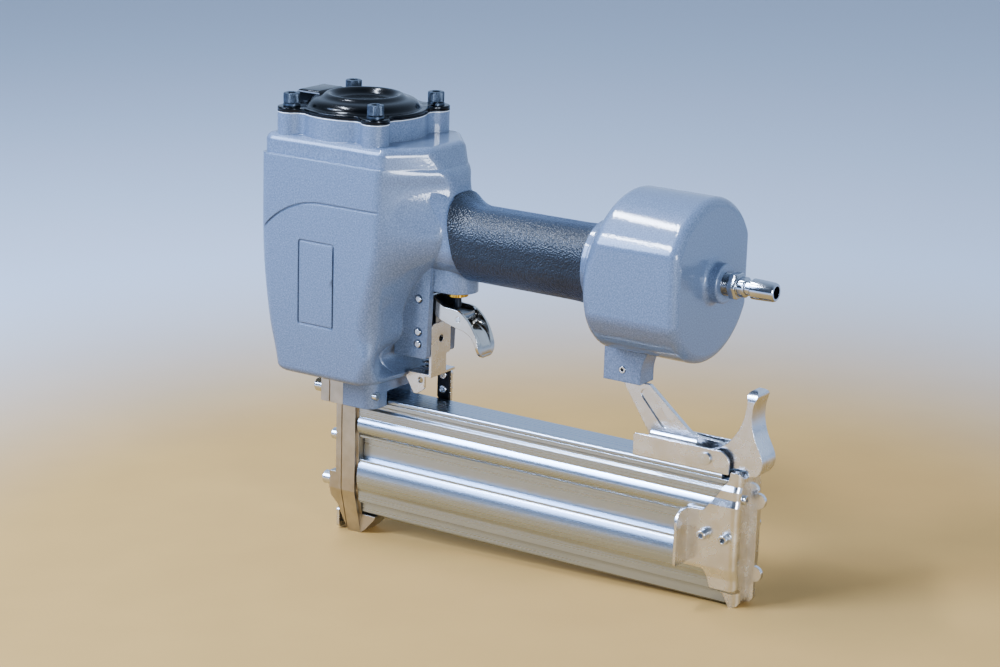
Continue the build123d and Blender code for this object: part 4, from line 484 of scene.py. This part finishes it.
def hexagon(flats, low, high):
    """A six-sided bar along Z: its width across flats and its two ends, in millimetres."""
    bpy.ops.object.select_all(action="DESELECT")
    bpy.ops.mesh.primitive_cylinder_add(
        vertices=6,
        radius=flats * MM / math.sqrt(3),
        depth=(high - low) * MM,
        location=(0, 0, (low + high) / 2 * MM),
    )
    bpy.ops.object.transform_apply()
    return bpy.context.object


def placed(made, turn, place):
    """Turns a piece and moves it to its place, in millimetres, inside its mesh."""
    made.rotation_euler = turn
    made.location = Vector(place) * MM
    only(made)
    bpy.ops.object.transform_apply()
    return made


def modified(made, kind, **settings):
    """Applies a modifier to a piece."""
    step = made.modifiers.new(kind.lower(), kind)
    for key, value in settings.items():
        setattr(step, key, value)
    only(made)
    bpy.ops.object.modifier_apply(modifier=step.name)
    return made


def swept(made, sides, steps, **settings):
    """Sweeps an open section with so many sides round Z, closes both ends and turns its faces
    outwards."""
    modified(made, "SCREW", steps=steps, render_steps=steps, **settings)
    only(made)
    bpy.ops.object.mode_set(mode="EDIT")
    bpy.ops.mesh.select_all(action="SELECT")
    bpy.ops.mesh.fill_holes(sides=sides)
    bpy.ops.mesh.select_all(action="SELECT")
    bpy.ops.mesh.normals_make_consistent(inside=False)
    bpy.ops.object.mode_set(mode="OBJECT")
    return made


def joined(name, *parts):
    """Joins parts into one piece."""
    only(*parts)
    bpy.ops.object.join()
    made = bpy.context.object
    made.name = made.data.name = name
    return made


def at_corners(name, made, height, turns):
    """Four copies of a piece at the corners of the cover, each with its own turn, as one piece."""
    ends = (-SCREW_SQUARE, SCREW_SQUARE)
    corners = [(x, y, height) for x in ends for y in ends]
    copies = []
    for corner, turn in zip(corners, turns):
        copy = bpy.data.objects.new(name, made.data.copy())
        bpy.context.scene.collection.objects.link(copy)
        copies.append(placed(copy, (0, 0, turn), corner))
    bpy.data.objects.remove(made)
    return joined(name, *copies)


def stands_for(made, node, material, angle=35.0, body="tool"):
    """Finishes a piece, with edges sharper than the angle left sharp, and lets it ride on a body in
    the place of a CAD node."""
    made.data.materials.clear()
    made.data.materials.append(material)
    only(made)
    bpy.ops.object.shade_smooth_by_angle(angle=math.radians(angle))
    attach(made, body)
    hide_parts(node)


class NailerLook(bpy.types.PropertyGroup):
    """Colours and sizes of the nailer's finishes."""

    paint_colour: FloatVectorProperty(
        name="Paint",
        description="Middle tone of the hammertone enamel",
        subtype="COLOR",
        default=linear("#647288"),
    )
    paint_light: FloatVectorProperty(
        name="Paint light",
        description="Light flecks of the enamel",
        subtype="COLOR",
        default=linear("#758399"),
    )
    paint_dark: FloatVectorProperty(
        name="Paint dark",
        description="Dark flecks of the enamel",
        subtype="COLOR",
        default=linear("#56647A"),
    )
    paint_dimple: FloatProperty(
        name="Paint dimple",
        description="Size of the hammertone dimples, in millimetres",
        default=1.2,
        min=0.2,
    )
    grip_colour: FloatVectorProperty(
        name="Grip",
        description="Colour of the rubber grip",
        subtype="COLOR",
        default=linear("#1D2229"),
    )
    grip_pebble: FloatProperty(
        name="Grip pebble",
        description="Size of the pebbles on the grip, in millimetres",
        default=1.1,
        min=0.2,
    )
    dome_wall: FloatProperty(
        name="Dome wall",
        description="Thickness of the pressed dome, in millimetres",
        default=1.5,
        min=0.5,
    )
    knurl_depth: FloatProperty(
        name="Knurl depth",
        description="Depth of the screw heads' knurl, in millimetres",
        default=0.28,
        min=0.0,
    )
    floor_colour: FloatVectorProperty(
        name="Floor",
        description="Colour of the floor under the tool",
        subtype="COLOR",
        default=linear("#BE9A60"),
    )
    surround_colour: FloatVectorProperty(
        name="Surround",
        description="Colour of the floor away from the tool",
        subtype="COLOR",
        default=linear("#CCD6E4"),
    )
    light_power: FloatProperty(
        name="Light",
        description="Power that each lamp takes its share of",
        unit="POWER",
        default=33.0,
        min=0.0,
    )


class PaintCastings(bpy.types.Operator):
    """Hammertone enamel on the housing and the drum"""

    bl_idname = "nailer.paint_castings"
    bl_label = "Paint the castings"

    def execute(self, context):
        wear(["housing", "reservoir_drum"], hammertone_enamel())
        return {"FINISHED"}


class PressCover(bpy.types.Operator):
    """Pressed cover: a flange on the gasket's outline, the dome with its ring and dish, and the
    exhaust duct"""

    bl_idname = "nailer.press_cover"
    bl_label = "Press the cover"

    def execute(self, context):
        wall = context.scene.nailer.dome_wall * MM
        bottom, top = (corner[2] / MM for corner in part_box("cover_gasket"))
        thick = top - bottom
        face = top + COVER_SHEET

        flange = bpy.data.objects.new("flange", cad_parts["cover_gasket"].data.copy())
        context.scene.collection.objects.link(flange)
        only(flange)
        bpy.ops.object.mode_set(mode="EDIT")
        bpy.ops.mesh.customdata_custom_splitnormals_clear()
        bpy.ops.mesh.select_all(action="SELECT")
        bpy.ops.mesh.remove_doubles(threshold=MERGE * MM)
        bpy.ops.transform.resize(
            value=(1, 1, COVER_SHEET / thick), center_override=(0, 0, bottom * MM)
        )
        bpy.ops.transform.translate(value=(0, 0, thick * MM))
        bpy.ops.object.mode_set(mode="OBJECT")
        modified(
            flange,
            "BEVEL",
            width=FLANGE_EDGE * MM,
            segments=EDGE_STEPS,
            limit_method="ANGLE",
            angle_limit=math.radians(FLANGE_CORNER),
        )

        dome = turned("dome", [(face + height, radius) for height, radius in DOME], DOME_SIDES)
        pick(dome, lambda middle, normal: middle.z < face + DOME[0][0] + NEAR)
        bpy.ops.mesh.delete(type="FACE")
        bpy.ops.object.mode_set(mode="OBJECT")
        modified(dome, "SOLIDIFY", thickness=wall, offset=-1)

        mouth, inner, half, height = DUCT
        bpy.ops.object.select_all(action="DESELECT")
        bpy.ops.mesh.primitive_cube_add(size=MM)
        duct = context.object
        duct.scale = (inner - mouth, 2 * half, height + COVER_SHEET)
        placed(duct, (0, 0, 0), ((mouth + inner) / 2, 0, face + (height - COVER_SHEET) / 2))
        pick(duct, lambda middle, normal: normal.z > FACING)
        bpy.ops.mesh.bevel(offset=DUCT_ROUND * MM, segments=ROUND_STEPS, affect="EDGES")
        bpy.ops.object.mode_set(mode="OBJECT")
        pick(duct, lambda middle, normal: normal.x < -FACING)
        bpy.ops.mesh.inset(thickness=wall)
        inward = ((inner - mouth - DUCT_BACK) * MM, 0, 0)
        bpy.ops.mesh.extrude_region_move(TRANSFORM_OT_translate={"value": inward})
        bpy.ops.object.mode_set(mode="OBJECT")

        cover = joined("pressed_cover", flange, duct, dome)
        stands_for(cover, "top_cover", gloss_enamel())
        return {"FINISHED"}


class FitCoverScrews(bpy.types.Operator):
    """Knurled socket head screws and split spring washers of the cover"""

    bl_idname = "nailer.fit_cover_screws"
    bl_label = "Fit the cover screws"

    def execute(self, context):
        steel = black_oxide_steel("oiled_black_oxide", "#5A636E", "#3F4751", rough=0.36)
        washer_seat, screw_seat = (corner[2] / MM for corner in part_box("cover_washers"))

        radius, width, height, rise = WASHER
        bpy.ops.object.select_all(action="DESELECT")
        bpy.ops.mesh.primitive_plane_add(size=MM)
        washer = context.object
        washer.scale = (width, height, 1)
        placed(washer, (math.pi / 2, 0, 0), (radius, 0, height / 2))
        only(washer)
        bpy.ops.object.mode_set(mode="EDIT")
        bpy.ops.mesh.select_all(action="SELECT")
        bpy.ops.mesh.delete(type="ONLY_FACE")
        bpy.ops.object.mode_set(mode="OBJECT")
        sweep = math.radians(360 - WASHER_OPEN)
        swept(washer, 4, WASHER_STEPS, angle=sweep, screw_offset=rise * MM)
        washers = at_corners("spring_washers", washer, washer_seat, WASHER_TURNS)
        stands_for(washers, "cover_washers", steel)

        screw = turned("screw", CAP_SCREW, 2 * KNURLS)
        only(screw)
        bpy.ops.object.mode_set(mode="EDIT")
        bpy.ops.mesh.select_mode(type="VERT")
        bpy.ops.mesh.select_all(action="DESELECT")
        bpy.ops.object.mode_set(mode="OBJECT")
        head = max(each for _, each in CAP_SCREW)
        for point in screw.data.vertices:
            step = round(math.atan2(point.co.y, point.co.x) * KNURLS / math.pi)
            out = math.hypot(point.co.x, point.co.y) / MM
            point.select = step % 2 == 1 and out > head - KNURL_BAND
        bpy.ops.object.mode_set(mode="EDIT")
        share = 1 - context.scene.nailer.knurl_depth / head
        bpy.ops.transform.resize(value=(share, share, 1), center_override=(0, 0, 0))
        bpy.ops.object.mode_set(mode="OBJECT")
        flats, depth = KEY
        top = CAP_SCREW[-1][0]
        key = hexagon(flats, top - depth, top + depth)
        modified(screw, "BOOLEAN", object=key, operation="DIFFERENCE", solver="EXACT")
        bpy.data.objects.remove(key)
        screws = at_corners("cap_screws", screw, screw_seat, SCREW_TURNS)
        stands_for(screws, "cover_screws", steel, angle=25.0)
        return {"FINISHED"}


class TurnAirPlug(bpy.types.Operator):
    """Quick plug: its thread, hexagon, collar, neck and barrel with the bore"""

    bl_idname = "nailer.turn_air_plug"
    bl_label = "Turn the air plug"

    def execute(self, context):
        low, high = (Vector(corner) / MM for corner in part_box("air_plug"))
        middle = (low + high) / 2
        start, pitch, turns, *radii = PLUG_THREAD
        thread = [
            (start + pitch * (count + part), radii[crest])
            for count in range(turns)
            for part, crest in THREAD_FORM
        ]
        body = turned("body", [*PLUG_BODY, *thread, *PLUG_TAIL], PLUG_SIDES)
        nut = modified(hexagon(*PLUG_HEX), "BEVEL", width=HEX_EDGE * MM, segments=EDGE_STEPS)
        plug = joined("quick_plug", nut, body)
        placed(plug, (0, math.pi / 2, 0), (high.x - PLUG_END, middle.y, middle.z))
        chrome = plated("chrome", "#C4C7CC", "#B4B8BE", smooth=0.14, rough=0.2, edge=0.2)
        stands_for(plug, "air_plug", chrome)
        return {"FINISHED"}


class DressGrip(bpy.types.Operator):
    """Pebbled rubber on the grip"""

    bl_idname = "nailer.dress_grip"
    bl_label = "Dress the grip"

    def execute(self, context):
        wear(["grip_sleeve"], pebbled_rubber())
        return {"FINISHED"}


class PlatePressings(bpy.types.Operator):
    """Nickel on the pressings and the nose, zinc on the fasteners, black oxide on the coupler"""

    bl_idname = "nailer.plate_pressings"
    bl_label = "Plate the pressings"

    def execute(self, context):
        wear(
            [
                "safety_yoke", "safety_contact", "end_cap", "bracket_arm", "bracket_base",
                "latch_lever",
            ],
            plated("bright_nickel", "#E3E3E4", "#D2D2D4", smooth=0.22, rough=0.3),
        )
        wear(
            ["trigger"],
            plated("polished_nickel", "#CFCBC3", "#BFBAB1", smooth=0.12, rough=0.22, edge=0.5),
        )
        wear(
            ["nose_back_plate", "nose_front_cover", "magazine_front_plate"],
            plated("satin_nickel", "#C2BCB2", "#B0AAA0", smooth=0.28, rough=0.36, edge=0.3),
        )
        wear(
            [
                "link_screws", "link_nuts", "nose_bolts", "nose_cover_screws", "end_cap_screws",
                "end_cap_rear_screw", "trigger_pin", "cheek_pins", "trigger_lever_pin", "lug_pin",
                "latch_pin", "base_screws",
            ],
            plated("bright_zinc", "#DADCDE", "#C3C6C9", smooth=0.16, rough=0.3, edge=0.25),
        )
        wear(
            ["safety_coupler", "trigger_valve_stem"],
            black_oxide_steel("black_oxide", "#343940", "#23272C", rough=0.36),
        )
        return {"FINISHED"}


class DressMagazine(bpy.types.Operator):
    """Satin anodised rail and channel"""

    bl_idname = "nailer.dress_magazine"
    bl_label = "Dress the magazine"

    def execute(self, context):
        wear(["fixed_rail", "magazine_channel"], satin_extrusion())
        return {"FINISHED"}


class DressMechanism(bpy.types.Operator):
    """Turned, ground and moulded pieces inside, and the seals"""

    bl_idname = "nailer.dress_mechanism"
    bl_label = "Dress the mechanism"

    def execute(self, context):
        wear(
            ["cylinder_sleeve", "piston", "head_cap"],
            turned_metal("turned_aluminium", "#CDD0D3", "#B7BABE"),
        )
        wear(
            ["driver_blade", "nail_pusher", "pusher_rod", "trigger_lever"],
            turned_metal("ground_steel", "#A4A6A9", "#85888C"),
        )
        wear(
            ["trigger_valve_body"],
            turned_metal("turned_brass", "#D9B45C", "#B98F3A", rough=0.24),
        )
        wear(
            ["head_valve"],
            turned_metal("moulded_acetal", "#2E2E31", "#242427", rough=0.5, metallic=0.0),
        )
        wear(
            [
                "cover_gasket", "cylinder_seals", "bumper", "piston_ring", "head_valve_seal",
                "drum_seal",
            ],
            nitrile_rubber(),
        )
        return {"FINISHED"}


class WindSprings(bpy.types.Operator):
    """Springs of drawn wire: three are wound here in place of their CAD solids"""

    bl_idname = "nailer.wind_springs"
    bl_label = "Wind the springs"

    def execute(self, context):
        wire_steel = turned_metal("drawn_wire", "#B9BBBE", "#8E9195", rough=0.26)
        wear(["safety_spring", "latch_spring"], wire_steel)
        for node, body, joint, travel, along, radius, wire, turns in SPRINGS:
            low, high = (Vector(corner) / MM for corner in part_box(node))
            middle = (low + high) / 2
            start, end = middle.copy(), middle.copy()
            start[along], end[along] = low[along], high[along]
            length = high[along] - low[along]
            bpy.ops.object.select_all(action="DESELECT")
            bpy.ops.mesh.primitive_circle_add(vertices=WIRE_SIDES, radius=wire / 2 * MM)
            spring = context.object
            placed(spring, (math.pi / 2, 0, 0), (radius, 0, wire / 2))
            pitch = (length - wire) / turns
            swept(spring, WIRE_SIDES, COIL_STEPS, screw_offset=pitch * MM, iterations=turns)
            placed(spring, (0, math.pi / 2 if along == 0 else 0, 0), start)
            spring.name = spring.data.name = "wound_" + node
            stands_for(spring, node, wire_steel, angle=60.0, body=body)
            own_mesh(spring)
        return {"FINISHED"}


class SetStage(bpy.types.Operator):
    """Pale floor, soft studio light and the camera"""

    bl_idname = "nailer.set_stage"
    bl_label = "Set the stage"

    def execute(self, context):
        scene = context.scene
        look = scene.nailer
        bpy.ops.object.select_all(action="DESELECT")
        slope = math.atan2(CAP_EDGE[1] - HEEL[1], CAP_EDGE[0] - HEEL[0])
        bpy.ops.mesh.primitive_plane_add(
            size=FLOOR_SIZE, location=(HEEL[0], 0, HEEL[1]), rotation=(0, -slope, 0)
        )
        floor = context.object
        floor.name = "floor"
        bpy.ops.object.transform_apply()
        # Matt floor paint, slightly mottled: tan round the tool, pale blue-grey away from it
        material, tree, shader, place = begin(
            "matt_floor_paint", Roughness=0.7, Specular_IOR_Level=0.2
        )
        mottle = add(
            tree,
            "ShaderNodeTexNoise",
            {"Vector": place, "Scale": per_mm(FLOOR_MOTTLE), "Detail": 3.0},
        )
        dim = tuple(FLOOR_DIM * c for c in look.floor_colour)
        stops = (0.35, (*dim, 1.0)), (0.65, (*look.floor_colour, 1.0))
        near = add(tree, "ShaderNodeValToRGB", (mottle,), stops)
        away = add(
            tree,
            "ShaderNodeVectorMath",
            (place, TOOL_MIDDLE),
            out="Value",
            operation="DISTANCE",
        )
        fade = add(
            tree,
            "ShaderNodeMapRange",
            (away, *FLOOR_FADE, 0.0, 1.0),
            interpolation_type="SMOOTHSTEP",
        )
        far = (*look.surround_colour, 1.0)
        connect(tree, shader, Base_Color=add(tree, "ShaderNodeMixRGB", (fade, near, far)))
        floor.data.materials.append(material)

        # Surroundings: pale along +Y and dim along -Y
        world = bpy.data.worlds.new("studio")
        world.use_nodes = True
        sky = world.node_tree
        facing = add(sky, "ShaderNodeTexCoord", (), out="Generated")
        along = add(sky, "ShaderNodeSeparateXYZ", (facing,), out="Y")
        depth = add(sky, "ShaderNodeMapRange", (along, -1.0, 1.0, 0.0, 1.0))
        glow = add(
            sky, "ShaderNodeValToRGB", (depth,), tones("#4C5664", "#C4DAFA", 0.2, 0.75)
        )
        backdrop = sky.nodes["Background"]
        sky.links.new(glow, backdrop.inputs["Color"])
        backdrop.inputs["Strength"].default_value = 1.0
        scene.world = world
        scene.view_settings.look = "AgX - Medium High Contrast"

        for name, spot, aim, size, colour, share in LAMPS:
            data = bpy.data.lights.new(name, "AREA")
            data.shape = "RECTANGLE"
            data.size, data.size_y = size
            data.energy = share * look.light_power
            data.color = linear(colour)
            lamp = bpy.data.objects.new(name, data)
            lamp.location = spot
            lamp.visible_camera = False
            beam = Vector(aim) - Vector(spot)
            lamp.rotation_euler = beam.to_track_quat("-Z", "Y").to_euler()
            scene.collection.objects.link(lamp)

        lens = bpy.data.cameras.new("camera")
        lens.lens = CAMERA_LENS
        lens.sensor_width = CAMERA_SENSOR
        camera = bpy.data.objects.new("camera", lens)
        turn, tilt, roll = CAMERA_AZIMUTH, CAMERA_ELEVATION, CAMERA_ROLL
        right = Vector((math.cos(turn), math.sin(turn), 0))
        flat = Vector((-math.sin(turn), math.cos(turn), 0))
        ahead = flat * math.cos(tilt) - Vector((0, 0, math.sin(tilt)))
        up = right.cross(ahead)
        level = right * math.cos(roll) + up * math.sin(roll)
        above = up * math.cos(roll) - right * math.sin(roll)
        stand = Matrix((level, above, -ahead)).transposed().to_4x4()
        camera.matrix_world = Matrix.Translation(CAMERA_PLACE) @ stand
        scene.collection.objects.link(camera)
        scene.camera = camera
        return {"FINISHED"}


OPERATORS = (
    PaintCastings,
    PressCover,
    FitCoverScrews,
    TurnAirPlug,
    DressGrip,
    PlatePressings,
    DressMagazine,
    DressMechanism,
    WindSprings,
    SetStage,
)


class NailerPanel(bpy.types.Panel):
    """Sidebar panel with the nailer's values and steps"""

    bl_idname = "VIEW3D_PT_nailer"
    bl_label = "Nailer"
    bl_space_type = "VIEW_3D"
    bl_region_type = "UI"
    bl_category = "Nailer"

    def draw(self, context):
        for name in NailerLook.__annotations__:
            self.layout.prop(context.scene.nailer, name)
        for step in OPERATORS:
            self.layout.operator(step.bl_idname)


CLASSES = (NailerLook, *OPERATORS, NailerPanel)


def register():
    for made in CLASSES:
        bpy.utils.register_class(made)
    bpy.types.Scene.nailer = PointerProperty(type=NailerLook)


def unregister():
    del bpy.types.Scene.nailer
    for made in reversed(CLASSES):
        bpy.utils.unregister_class(made)


def main():
    register()
    bpy.ops.nailer.paint_castings()
    bpy.ops.nailer.press_cover()
    bpy.ops.nailer.fit_cover_screws()
    bpy.ops.nailer.turn_air_plug()
    bpy.ops.nailer.dress_grip()
    bpy.ops.nailer.plate_pressings()
    bpy.ops.nailer.dress_magazine()
    bpy.ops.nailer.dress_mechanism()
    bpy.ops.nailer.wind_springs()
    bpy.ops.nailer.set_stage()


if __name__ == "__main__":
    main()
